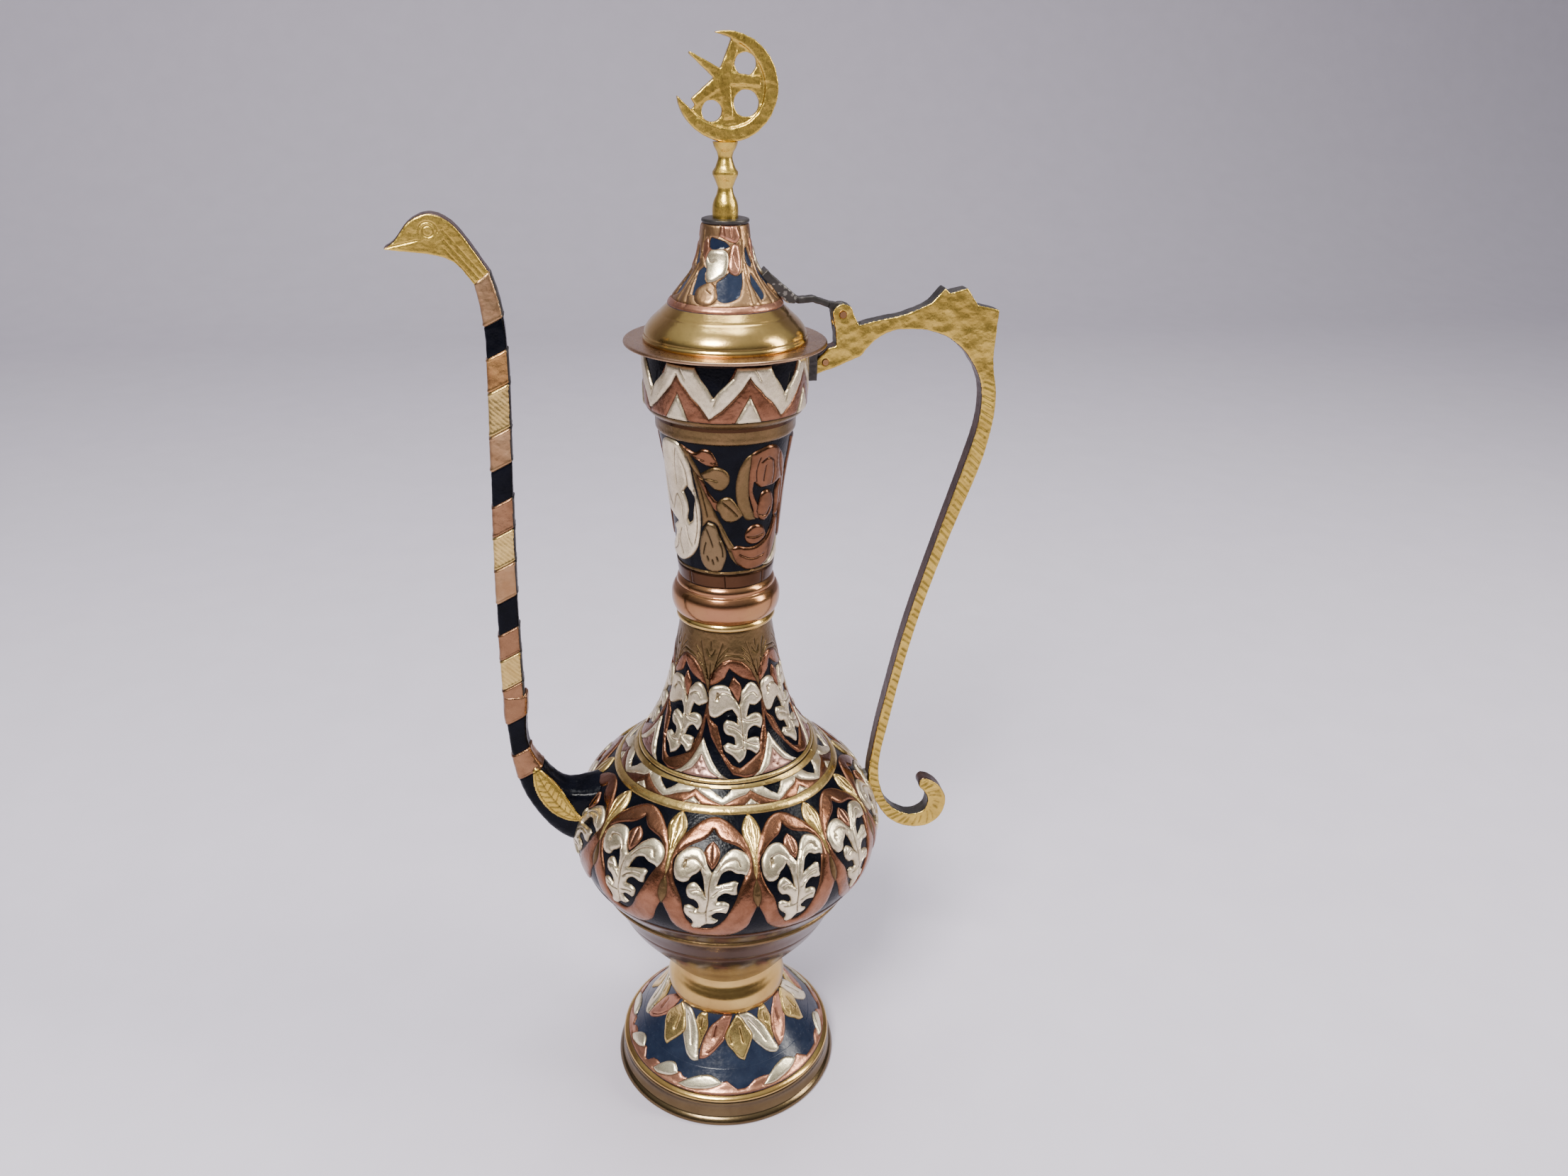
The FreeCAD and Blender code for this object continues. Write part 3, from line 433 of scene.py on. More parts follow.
def distance_to(starts, ends, points, chunk=400):
    """Distance from each point to the nearest of many straight pieces."""
    result = np.full(len(points), 1e3)
    if not len(starts):
        return result
    along = ends - starts
    square = np.maximum((along ** 2).sum(1), 1e-12)
    for first in range(0, len(points), chunk):
        block = points[first:first + chunk][:, None]
        t = np.clip(((block - starts) * along).sum(2) / square, 0, 1)
        gap = block - (starts + t[..., None] * along)
        result[first:first + chunk] = np.sqrt((gap ** 2).sum(2).min(1))
    return result


class FlatGore:
    """One gore laid flat and meshed along every outline, with the height of each point; lengths in mm."""

    margin = 0.18  # kept between the outlines and the two ends of the profile
    beside = 0.26  # from an outline to the points that follow it on its raised sides
    clear = 0.2  # least gap between a point and an outline or the edge of the gore
    cut_clear = 0.25  # least gap between an outline and the points of a chiselled line
    crowded = 0.24  # least gap between two of all these points
    groove = 0.42  # how far the painted shade and patina along an outline reach on each side
    crease_share = 0.4  # height left in the crease between two raised shapes
    deepest = -0.25  # a chiselled line cuts no deeper than this below the ground

    def __init__(self, half, length, shapes, cuts, drawn_half, grid):
        self.half = half
        self.length = length
        self.shapes = shapes
        per_degree = half / drawn_half
        self.copies = []
        for index, shape in enumerate(shapes):
            outline = shape.outline * (per_degree, 1.0)
            loop = closed_through(outline, grid * 0.7) if shape.smooth else densified(outline, grid * 0.9)
            loop[:, 1] = np.clip(loop[:, 1], self.margin, length - self.margin)
            for shift in (0,) if shape.all_round else (-2 * half, 0, 2 * half):
                copy = loop + (shift, 0)
                if copy[:, 0].min() < half + 2 and copy[:, 0].max() > -half - 2:
                    self.copies.append((index, copy))
        self.find_borders()
        self.lay_cuts(cuts, per_degree, grid)
        self.mesh(grid)

    def top(self, points):
        """Index of the uppermost shape at each point, or -1 on the ground."""
        found = np.full(len(points), -1)
        for index, copy in self.copies:
            found[inside(copy, points)] = index
        return found

    def find_borders(self):
        """The outline pieces that no other shape covers."""
        starts = []
        ends = []
        for place, (index, copy) in enumerate(self.copies):
            a, b = copy, np.roll(copy, -1, axis=0)
            middle = (a + b) / 2
            seen = np.linalg.norm(b - a, axis=1) > 1e-6
            for other, (above, loop) in enumerate(self.copies):
                if above > index or (above == index and other != place):
                    seen &= ~inside(loop, middle)
            starts.append(a[seen])
            ends.append(b[seen])
        self.starts = np.vstack(starts)
        self.ends = np.vstack(ends)

    def lay_cuts(self, cuts, per_degree, grid):
        """Chiselled lines of (points, half width, depth)."""
        self.cuts = []
        for points, half_width, depth in cuts:
            line = through(np.array(points, float) * (per_degree, 1.0), grid * 0.6)
            for shift in (-2 * self.half, 0, 2 * self.half):
                self.cuts.append((line + (shift, 0), half_width, depth))

    def clipped(self):
        """Border pieces cut off at the gore's two sides."""
        a, b = self.starts, self.ends
        keep = (np.minimum(a[:, 0], b[:, 0]) < self.half) & (np.maximum(a[:, 0], b[:, 0]) > -self.half)
        a, b = a[keep].copy(), b[keep].copy()
        for side in (-self.half, self.half):
            for p, q in ((a, b), (b, a)):
                out = (p[:, 0] - side) * np.sign(side) > 0
                t = (side - q[out, 0]) / (p[out, 0] - q[out, 0])
                p[out, 1] = q[out, 1] + t * (p[out, 1] - q[out, 1])
                p[out, 0] = side
        return a, b

    def mesh(self, grid):
        half, length = self.half, self.length
        a, b = self.clipped()
        columns = max(8, int(round(2 * half / (grid * 1.1))))
        ring = np.linspace(-half, half, columns + 1)
        rows = np.linspace(0, length, int(length / grid) + 1)
        frame_points = [(x, 0.0) for x in ring] + [(half, s) for s in rows[1:-1]]
        frame_points += [(x, length) for x in ring[::-1]] + [(-half, s) for s in rows[1:-1][::-1]]
        count = len(frame_points)
        points = [np.array(frame_points)]
        edges = [(i, (i + 1) % count) for i in range(count)]
        for p, q in zip(a, b):
            edges.append((count, count + 1))
            points.append(np.array([p, q]))
            count += 2
        hard = (self.starts, self.ends)
        offsets = []
        middle = (a + b) / 2
        run = b - a
        normal = np.stack([run[:, 1], -run[:, 0]], 1) / np.linalg.norm(run, axis=1)[:, None]
        for side in (-1, 1):
            near = middle + normal * (self.beside * side)
            over = self.top(near)
            raised = np.array([i >= 0 and self.shapes[i].rise > 0 for i in over])
            offsets.append(near[raised])
        offsets = np.vstack(offsets)
        offsets = offsets[distance_to(*hard, offsets) > self.clear]
        cut_points = []
        for line, half_width, _ in self.cuts:
            run = np.gradient(line, axis=0)
            normal = np.stack([run[:, 1], -run[:, 0]], 1) / np.linalg.norm(run, axis=1)[:, None]
            cut_points += [line, line + normal * half_width, line - normal * half_width]
        if cut_points:
            cut_points = np.vstack(cut_points)
            cut_points = cut_points[distance_to(*hard, cut_points) > self.cut_clear]
        else:
            cut_points = np.zeros((0, 2))
        fixed = thinned(np.vstack([offsets, cut_points]), self.crowded)
        lattice = []
        for row, s in enumerate(np.arange(grid * 0.6, length - grid * 0.3, grid * 0.87)):
            first = -half + grid * (0.6 + 0.5 * (row % 2))
            lattice += [(x, s) for x in np.arange(first, half - grid * 0.4, grid)]
        lattice = np.array(lattice)
        lattice = lattice[distance_to(*hard, lattice) > 0.55 * grid]
        if len(fixed):
            lattice = lattice[distance_to(fixed, fixed, lattice) > 0.5 * grid]
        free = np.vstack([fixed, lattice])
        free = free[(np.abs(free[:, 0]) < half - self.clear) & (free[:, 1] > self.clear)
                    & (free[:, 1] < length - self.clear)]
        points.append(free)
        flat = [Vector(p) for p in np.vstack(points)]
        found = delaunay_2d_cdt(flat, edges, [], 0, 1e-4)
        self.points = np.array([tuple(v) for v in found[0]])
        self.points[np.abs(self.points[:, 0] - half) < 1e-3, 0] = half
        self.points[np.abs(self.points[:, 0] + half) < 1e-3, 0] = -half
        self.triangles = np.array([f for f in found[2] if len(f) == 3])
        self.region = self.top(self.points[self.triangles].mean(1))
        self.raise_points()

    def raise_points(self):
        """Domed heights inside the shapes, and creases between them."""
        points = self.points
        gap = distance_to(self.starts, self.ends, points)
        rises = np.array([shape.rise for shape in self.shapes] + [0.0])
        bevels = np.array([shape.bevel for shape in self.shapes] + [1.0])
        tones = np.array([shape.tone for shape in self.shapes] + [0.0])
        over = self.top(points)
        across = np.clip(gap / bevels[over], 0, 1)
        height = rises[over] * np.sqrt(1 - (1 - across) ** 2)
        border = np.flatnonzero(gap < 0.02)
        around = np.full(len(border), 9.0)
        for turn in np.arange(0.3, 6.5, math.pi / 4):
            probe = points[border] + 0.13 * np.array([math.cos(turn), math.sin(turn)])
            around = np.minimum(around, rises[self.top(probe)])
        height[border] = self.crease_share * around
        # recess: painted shade and patina along the outlines and in the chiselled lines
        recess = np.clip(1 - gap / self.groove, 0, 1) * 0.9
        for line, half_width, depth in self.cuts:
            off = distance_to(line[:-1], line[1:], points)
            share = np.clip(1 - off / half_width, 0, 1)
            height = height - depth * share * (2 - share)
            recess = np.maximum(recess, share)
        ends = (points[:, 1] < 1e-6) | (points[:, 1] > self.length - 1e-6)
        height[ends] = 0.0
        self.height = np.maximum(height, self.deepest)
        self.recess = recess
        self.tone = tones[over]


def thinned(points, gap):
    """Drops points that crowd within gap of one kept before."""
    kept = {}
    for p in points:
        kept.setdefault((int(p[0] // gap), int(p[1] // gap)), p)
    cells = list(kept.items())
    result = []
    for (i, j), p in cells:
        crowded = False
        for di in (-1, 0, 1):
            for dj in (-1, 0, 1):
                q = kept.get((i + di, j + dj))
                if q is not None and (di, dj) < (0, 0) and np.hypot(*(p - q)) < gap * 0.7:
                    crowded = True
        if not crowded:
            result.append(p)
    return np.array(result).reshape(-1, 2)


def densified(outline, step):
    """The same corners, joined by straight runs of short pieces."""
    pieces = []
    for a, b in zip(outline, np.roll(outline, -1, axis=0)):
        count = max(1, int(round(np.linalg.norm(b - a) / step)))
        pieces.append(a + (b - a) * np.arange(count)[:, None] / count)
    return np.vstack(pieces)


def relief(name, body, profile, seams, drawn_half, ground, shapes, cuts=(), grid=1.0, wall=1.2,
           warp=None, sway=0.5, node=None):
    """A turned shell whose outside is chased and enamelled: the same flat gore laid between the seams."""
    arc = lengths(profile)
    normals = outward(profile)
    mean_radius = float(np.mean(profile[:, 0]))
    seams = np.radians(np.array(seams, float))
    half = mean_radius * float(np.mean(np.diff(seams))) / 2
    flat = FlatGore(half, arc[-1], shapes, cuts, drawn_half, grid)
    finishes = [ground] + sorted({shape.finish for shape in shapes} - {ground})
    finish_of = np.array([finishes.index(shape.finish) for shape in shapes] + [0])

    def on_shell(azimuth, up, height):
        inside_ends = np.sin(math.pi * up / arc[-1])
        fade = np.clip(3 * inside_ends, 0, 1)
        lift = hand_waves(azimuth, up * 1.2, sway * 0.6, seed=5) * fade
        side = hand_waves(azimuth, up, sway, seed=9) * fade
        up = np.clip(up + lift + (warp(azimuth, up) if warp else 0.0), 0, arc[-1])
        r = np.interp(up, arc, profile[:, 0])
        z = np.interp(up, arc, profile[:, 1])
        nr = np.interp(up, arc, normals[:, 0])
        nz = np.interp(up, arc, normals[:, 1])
        turned = azimuth + side / np.maximum(r, 5.0)
        reach = r + nr * height
        return np.stack([reach * np.sin(turned), -reach * np.cos(turned), z + nz * height], axis=-1)

    vertices, faces, face_finish, recess, tone, ring_azimuth = [], [], [], [], [], []
    low_ring, high_ring = [], []
    count = 0
    x, s = flat.points[:, 0], flat.points[:, 1]
    order_low = np.flatnonzero(s < 1e-6)
    order_low = order_low[np.argsort(x[order_low])]
    order_high = np.flatnonzero(s > arc[-1] - 1e-6)
    order_high = order_high[np.argsort(x[order_high])]
    for start, stop in zip(seams, seams[1:]):
        azimuth = start + (x / half + 1) / 2 * (stop - start)
        vertices.append(on_shell(azimuth, s, flat.height))
        faces.append(flat.triangles + count)
        face_finish.append(finish_of[flat.region])
        recess.append(flat.recess)
        tone.append(flat.tone)
        ring_azimuth.append(azimuth[order_low])
        low_ring.append(order_low + count)
        high_ring.append(order_high + count)
        count += len(x)
    faces = [tuple(f) for f in np.vstack(faces)]
    face_finish = list(np.concatenate(face_finish))
    low_ring, high_ring = np.concatenate(low_ring), np.concatenate(high_ring)
    ring_azimuth = np.concatenate(ring_azimuth)
    rows = np.linspace(0, arc[-1], max(3, int(arc[-1] / 6)))
    inner = profile - normals * wall
    inner[0, 1], inner[-1, 1] = profile[0, 1], profile[-1, 1]
    levels = [low_ring]
    for up in rows:
        r = np.interp(up, arc, inner[:, 0])
        z = np.interp(up, arc, inner[:, 1])
        vertices.append(np.stack([r * np.sin(ring_azimuth), -r * np.cos(ring_azimuth),
                                  np.full(len(ring_azimuth), z)], axis=-1))
        levels.append(np.arange(len(ring_azimuth)) + count)
        count += len(ring_azimuth)
        recess.append(np.zeros(len(ring_azimuth)))
        tone.append(np.zeros(len(ring_azimuth)))
    levels.append(high_ring)
    for one, two in zip(levels, levels[1:]):
        for i in range(len(one) - 1):
            if abs(ring_azimuth[i + 1] - ring_azimuth[i]) > 1e-9:
                faces.append((one[i + 1], one[i], two[i], two[i + 1]))
                face_finish.append(0)
    values = {"recess": np.concatenate(recess), "tone": np.concatenate(tone)}
    thing = mesh_from(name, np.vstack(vertices), faces, finishes, face_finish, values, sharp=50.0)
    return settle(thing, body, node or name)


# ---------------------------------------------------------------- foot and lower bowl


def ring_groove(line, height, depth, half_width):
    """Presses a shallow turned groove into an outer profile at a height."""
    off = np.abs(line[:, 1] - height)
    push = depth * np.clip(1 - off / half_width, 0, 1) ** 2
    return line - outward(line) * push[:, None]


def make_foot():
    rim = joined([(53.6, 0), (54.3, 1.4), (53.6, 3.0), (52.3, 4.2)],
                 [(52.3, 4.2), (51.4, 7.6), (51.9, 11.6)], [(51.9, 11.6), (51.4, 13.8), (49.8, 15.0)],
                 step=0.5)
    rim = ring_groove(rim, 12.6, 0.35, 0.8)
    # The brass rim turns darker below its shoulder: painted shade on the concave wall and the bead
    lathe("foot_rim", "pot", walled(rim, 1.3), ["spun_brass", "spun_brass_shade"], [(12.8, 1)])
    dome = joined([(49.4, 15), (48.0, 15.9), (46.2, 18.2), (42.8, 22.0), (38.0, 27.5), (33.5, 33.0),
                   (29.9, 38.6), (27.5, 44)])
    circle = int(np.searchsorted(lengths(dome), 11.3))
    relief("foot_border", "pot", dome[:circle + 1], (-180, 180), 180.0, "navy",
           foot_border(), grid=0.9, sway=0.35, node="foot_dome")
    relief("foot_dome", "pot", dome[circle:], 32 + 60 * np.arange(7), 30.0, "navy",
           foot_leaves(), foot_veins(), grid=0.9, sway=0.35)
    collar = joined([(27.5, 44), (28.3, 46.6), (28.5, 49.3), (27.9, 52.5), (26.3, 56), (24.9, 59.2),
                     (24.5, 62.5)], step=0.6)
    lathe("stem_collar", "pot", walled(collar, 1.3), ["spun_brass"])
    bowl = joined([(25.3, 62.5), (28.4, 65.6), (32.2, 70.6), (36.9, 77.2), (42.2, 84), (47.6, 91.6),
                   (51.6, 99.4), (54.8, 107), (57.2, 111.8)],
                  [(57.2, 111.8), (58.8, 112.2), (59.2, 113.4), (58.4, 114.6)])
    bowl = ring_groove(bowl, 98.5, 0.6, 1.2)
    bowl = ring_groove(bowl, 66.0, 0.3, 0.9)
    lathe("lower_bowl", "pot", walled(bowl, 1.3), ["olive", "spun_brown"], [(111.5, 1)])


def foot_border():
    """The wavy pink border with lying silver almonds; x is the azimuth itself."""
    almond = np.array([(-13, 1.6), (-7, 5.4), (0, 8.0), (7, 8.7), (11.5, 7.2), (14.6, 5.2), (8, 3.0),
                       (0, 1.7), (-7, 1.0)])
    swell = np.array([(-23, 2.4), (-18, 5.0), (-12, 5.6), (-5, 4.6), (8, 4.8), (17, 6.4), (23, 2.4)])
    azimuths = np.arange(-180, 180.1, 1.5)
    crest = np.full(len(azimuths), 2.4)
    almonds = []
    for centre, wide, high in ((-158, 1, 1), (-110, 0.9, 0.95), (-78, 0.6, 1.05), (-48, 0.6, 1.1),
                               (-24.5, 1, 1), (26, 0.95, 1.06), (73, 0.6, 1.0), (116, 1, 1)):
        swelling = np.interp(azimuths, centre + swell[:, 0] * wide, swell[:, 1] * high, 2.4, 2.4)
        crest = np.maximum(crest, swelling)
        almonds.append(Shape("silver", almond * (wide, high) + (centre, 0), 0.85, tone=0.3))
    border = [(-180, 0.0)] + list(zip(azimuths, crest)) + [(180, 0.0)]
    wave = Shape("pink_copper", border, 0.5, 0.8, smooth=False, tone=0.3)
    wave.all_round = True
    return [wave] + almonds


def foot_leaves():
    """Leaves hanging from the collar, measured from the incised circle."""
    return [
        Shape("brass", [(-34, 25), (-39, 19.7), (-37, 15.7), (-34, 10.7), (-32.6, 7.2), (-31, 7.2),
                        (-29, 12.7), (-26, 18.2), (-28.6, 25)], 0.8),
        Shape("pink_copper", [(-4, 25), (-12, 24.8), (-18, 22.2), (-24, 18.7), (-28, 13.7), (-30, 8.7),
                              (-30, 3), (-26, 3.7), (-20, 6.7), (-15, 10.2), (-11, 13.2), (-8, 18.7)],
              0.85),
        Shape("silver", [(2, 25), (8, 25), (14, 23.7), (20, 20.2), (25, 15.7), (28, 8.7), (30, 2.4),
                         (27, 1.5), (22, 2.7), (16, 7.2), (12, 10.7), (8, 15.7), (4, 19.7)], 0.95,
              tone=0.2),
        Shape("brass", [(0, 24.9), (-6, 20.7), (-11, 14.2), (-9, 10.7), (-5, 7.7), (0, 3.7), (3, 2.7),
                        (5, 5.2), (9, 9.2), (12, 13.2), (8, 18.7), (4, 22.7)], 1.05, tone=0.2),
    ]


def foot_veins():
    return [
        ([(1.8, 17.6), (2.4, 14.6), (3.2, 11)], 0.8, 0.8),
        ([(-7, 14.4), (-6, 11.6)], 0.5, 0.5),
        ([(-18.6, 19.4), (-19.6, 16.6), (-20, 13.7)], 0.8, 0.7),
        ([(-32.6, 21.6), (-32.6, 17.4)], 0.75, 0.7),
        ([(11, 20.7), (18, 14.7), (22, 8.7)], 0.45, 0.35),
        ([(-12, 14.6), (-18, 9.6), (-24, 6.4)], 0.45, 0.35),
    ]


# ---------------------------------------------------------------- belly


def belly_shapes():
    ring_left = [(0, 14.2), (-7, 14.8), (-10, 17), (-13, 21), (-14.5, 26), (-15.9, 30), (-17.3, 34.5),
                 (-17.4, 40), (-17.3, 46), (-16.3, 50), (-15.8, 54), (-14.8, 58), (-11.5, 62.5), (-9, 65.3),
                 (-6.5, 67.3), (0, 69.4)]
    oval = [(0, 64), (-1.2, 62.3), (-4, 59.6), (-6.5, 58.3), (-9.5, 56.5), (-11.9, 54.5), (-14, 52),
            (-14.9, 49.5), (-14.5, 46), (-13, 40.5), (-11.6, 37.5), (-10.2, 34.5), (-9.2, 30), (-8, 25),
            (-5.6, 21.3), (-3.4, 19.8), (0.4, 20), (2.6, 22), (4.6, 25), (6.8, 30), (9, 35), (10.7, 40),
            (12.6, 45), (14.6, 50), (13.4, 54), (10.6, 57), (6.6, 58.6), (3.8, 59.8), (1.2, 62.3)]
    acanthus = [(0.4, 46.5), (-1.5, 50), (-2.9, 54), (-4.5, 56), (-7.5, 56.5), (-10.5, 55.5), (-13, 53),
                (-14.3, 50), (-14.3, 47), (-13.7, 44), (-12.5, 42), (-10.5, 41.3), (-8.5, 42), (-7, 44.5),
                (-5.5, 45.5), (-4.1, 47.2), (-3, 44), (-2.5, 40), (-2.2, 37.3), (-2.8, 38.5), (-4, 40.3),
                (-6, 42), (-7.5, 41.5), (-8.7, 39.5), (-8.5, 36.8), (-7.3, 35), (-5.5, 34.6), (-4.3, 33),
                (-4, 31.2), (-4.7, 30.7), (-7.3, 32.3), (-8.8, 31.7), (-8.9, 29.5), (-8, 27.2), (-6.1, 25),
                (-5.8, 23), (-6.3, 21.2), (-5.5, 20), (-3.5, 20.5), (-1, 23.2), (1, 23.3), (2.7, 25),
                (0.7, 26.5), (0.3, 27.8), (2, 29.4), (5.5, 29), (6.3, 31), (6.5, 33), (5, 34.2),
                (2.3, 34.3), (2.3, 35.4), (5.5, 38), (7.7, 37.2), (9.6, 37.4), (9.6, 40), (10.2, 42.5),
                (9, 43.3), (6.5, 42.7), (4, 42), (2.2, 41.2), (3.2, 44), (4.5, 46.5), (7.3, 47.6),
                (9.5, 46.3), (12, 45.8), (13.2, 45), (14.5, 48), (14.8, 50), (14.3, 52.5), (13, 54.5),
                (10.5, 56), (8, 56.3), (6, 55), (4.5, 53.5), (2.5, 50)]
    leaf = [(0, 43), (-0.7, 46), (-0.9, 50), (-1.7, 55), (-2.8, 58), (-4.1, 61), (-4.5, 64), (-3, 67.8),
            (0, 70.7)]
    zigzag = [(-17.2, 80.7), (-15, 79.9), (-12, 78.5), (-8, 76.8), (-3, 75.1), (0, 74.3), (3, 75.3), (7, 77),
              (10.5, 78), (14, 78.8), (17.2, 80.5), (17.2, 81.4), (-17.2, 81.4)]
    shift = 3.4
    return [
        girdle("spun_brown", -1, 13.6, rise=0.45, bevel=1.2),
        Shape("copper", mirrored(ring_left), 0.8, 1.6),
        Shape("olive", moved(mirrored([(0, 30.5), (-1.5, 35), (-1.3, 39), (0, 43.5)]), 16.7), 0.75, 1.4),
        Shape("black", oval, 0.0, 0.5),
        Shape("copper", [(0.2, 59.4), (-2.2, 57.4), (-3.2, 55), (-2, 51), (0.4, 47.4), (2.6, 51),
                         (3.3, 55.3), (2.2, 57.6)], 0.8, 1.1, tone=0.4),
        Shape("silver", acanthus, 1.15, 1.1),
        Shape("brass", moved(mirrored(leaf), 16.7), 0.9, 1.2, tone=0.3),
        girdle("brass", 70.2, 74.2, rise=0.6, bevel=1.0),
        girdle("copper", 74.1, 81.3, rise=0.45, bevel=0.7),
        Shape("silver", moved(zigzag, shift), 0.75, 0.8, smooth=False),
        Shape("black", moved([(-7.6, 81.3), (5.7, 81.3), (0.2, 77.4)], shift), 0.0, 0.5, smooth=False),
        Shape("silver", moved([(-4.4, 74.3), (4.6, 74.3), (0, 77.1)], shift - 16.7), 0.75, 0.8,
              smooth=False),
        girdle("brass", 81.3, 84, rise=0.55, bevel=0.8),
    ]


def belly_cuts():
    stem = [(0.4, 46), (-0.6, 41), (-0.8, 35), (-1.4, 30), (-1.2, 25)]
    lobes = [[(-2.4, 47.5), (-6.5, 51.5), (-10, 50.5), (-10.6, 47.3)],
             [(2.4, 46.5), (6, 51), (9.8, 51.6), (11, 49)], [(-1.6, 36), (-4.6, 38.8), (-6.6, 38.4)],
             [(-1.6, 29.6), (-4.6, 29.2), (-6.8, 29.6)], [(0.6, 36.8), (4, 39.8), (7.4, 40.4)],
             [(0.2, 30.6), (3, 31.6), (4.8, 31.8)]]
    cuts = [(stem, 0.5, 0.42)] + [(lobe, 0.45, 0.36) for lobe in lobes]
    cuts += [([(-10, 50.4), (-10, 48)], 0.7, 1.0)]
    leaf_line = [(16.7, 67.5), (16.9, 60), (16.7, 52)]
    cuts += [(leaf_line, 0.45, 0.35)]
    cuts += [([(16.7 + side * 0.6, 53), (16.7 + side * 1.7, 59), (16.7 + side * 2.8, 63.4),
               (16.7 + side * 1.4, 67.6)], 0.35, 0.22) for side in (-1, 1)]
    cuts += [([(0.1, 58.2), (0.3, 50)], 0.35, 0.3)]
    return cuts


def make_belly():
    outline = joined([(58.4, 114.6), (61.7, 119), (65.2, 124), (68.2, 130), (69.6, 136), (69.9, 142),
                      (67.9, 150), (63.8, 158.5), (57.9, 165.6), (51.5, 171.3), (45.2, 177), (39.2, 183.3)])
    front_seams = [-98, -64, -30.3, 3, 33.7, 64, 96]
    back_step = (front_seams[0] + 360 - front_seams[-1]) / 5
    seams = front_seams + [front_seams[-1] + back_step * i for i in range(1, 6)]

    def ring_droop(azimuth, up):
        window = np.clip((up - 48) / 14, 0, 1) * np.clip((82.6 - up) / 3, 0, 1)
        return -2.6 * (1 - np.cos(2 * (azimuth + math.radians(17)))) / 2 * window

    relief("belly_shell", "pot", outline, seams, 16.7, "black", belly_shapes(), belly_cuts(),
           grid=1.12, warp=ring_droop)


# ---------------------------------------------------------------- neck


def flare_shapes():
    plant = [(-28, 40), (-25, 41.8), (-20, 42.5), (-10, 42.5), (-7.5, 42), (-3, 38.3), (1, 36), (3.5, 33.5),
             (5, 35.5), (7, 40), (9.5, 41), (13, 42.5), (17, 43), (21, 42.3), (25, 40), (27.5, 37.5),
             (28.4, 34.8), (24, 33.3), (20, 32.6), (14.3, 33.4), (12.5, 31.5), (10.5, 28.3), (16, 29.3),
             (20, 29.3), (23.5, 28.5), (25.3, 27), (24.5, 24), (22, 21.8), (16, 23.6), (12, 22.8),
             (8, 18.5), (16, 18.8), (19, 18.3), (18.5, 15.5), (16.5, 12.5), (13.5, 11.3), (8.5, 13.5),
             (6.5, 13.8), (3.5, 10.2), (-0.5, 8.5), (-5.5, 12), (-10.5, 14), (-12.5, 16.3), (-8.5, 17.8),
             (-2.8, 16.5), (-4, 19.8), (-10, 21), (-12.8, 23.5), (-12.5, 26), (-10, 27.4), (-2, 26.3),
             (0.2, 25.5), (0, 29), (-4, 31.8), (-10, 31), (-17, 28.8), (-21, 28), (-24, 28.5), (-27, 32),
             (-27.8, 36)]
    arch = [(-28.5, 46.5), (-22.5, 49.3), (-14, 53), (-6, 54.2), (0, 53.8), (8, 52.6), (14, 50.5), (19, 48),
            (24, 43.5), (28.5, 39), (28.5, 37.6), (24, 42.4), (14, 44.3), (8, 45.5), (2, 47.3), (-3, 49),
            (-6, 50.2), (-9, 48), (-11, 46), (-15, 44.7), (-20, 43.4), (-28.5, 41.5)]
    ogee = [(-28.5, 35), (-28.5, 41.5), (-20, 43.4), (-15, 44.7), (-11, 46), (-9, 48), (-6, 50.2), (-3, 49),
            (2, 47.3), (8, 45.5), (14, 44.3), (24, 42.4), (28.5, 37.6), (28.5, 35)]
    lancet = [(-29, 37), (-28.8, 29), (-22.5, 20), (-14.5, 13), (-5, 4), (3, 2.3), (12, 2.8), (19, 8),
              (26, 15), (28.8, 26), (29, 37), (27.6, 35), (25.9, 27), (24.4, 23), (20, 17.6), (16.5, 12),
              (8, 9.2), (0, 6.5), (-5, 8), (-11.5, 13), (-14.4, 19), (-17.6, 24.5), (-24.4, 27.5),
              (-27.4, 33)]
    chevron = [(0, 19.5), (-4, 15), (-9, 9.5), (-15, 4.5), (-20, 2.3), (-14, 2.7), (-7, 5.4), (-3, 9),
               (0, 12)]
    edge = 28.5
    return [
        girdle("olive", 36, 68, rise=0.55, bevel=0.8),
        Shape("black", ogee, 0.0, 0.5, smooth=False),
        Shape("copper", arch, 0.75, 1.3, smooth=False),
        Shape("copper", [(-1.5, 46.8), (3, 44.6), (6, 43), (7, 41), (5.8, 38.5), (3.5, 34.6), (0, 36.6),
                         (-2.5, 38.8), (-6.5, 42.2), (-4.5, 44.5)], 0.8, 1.1),
        Shape("copper", lancet, 0.65, 1.0, smooth=False),
        Shape("silver", plant, 1.1, 1.1),
        Shape("lilac", moved([(-16, 2.6), (-7, 5.8), (-3, 9.3), (0, 12.5), (3, 9.3), (7, 5.8), (16, 2.6)],
                             edge), 0.5, 0.8, smooth=False),
        Shape("silver", moved(mirrored(chevron), edge), 0.9, 0.9, smooth=False),
        girdle("brass", -1, 2.2, rise=0.55, bevel=0.8),
    ]


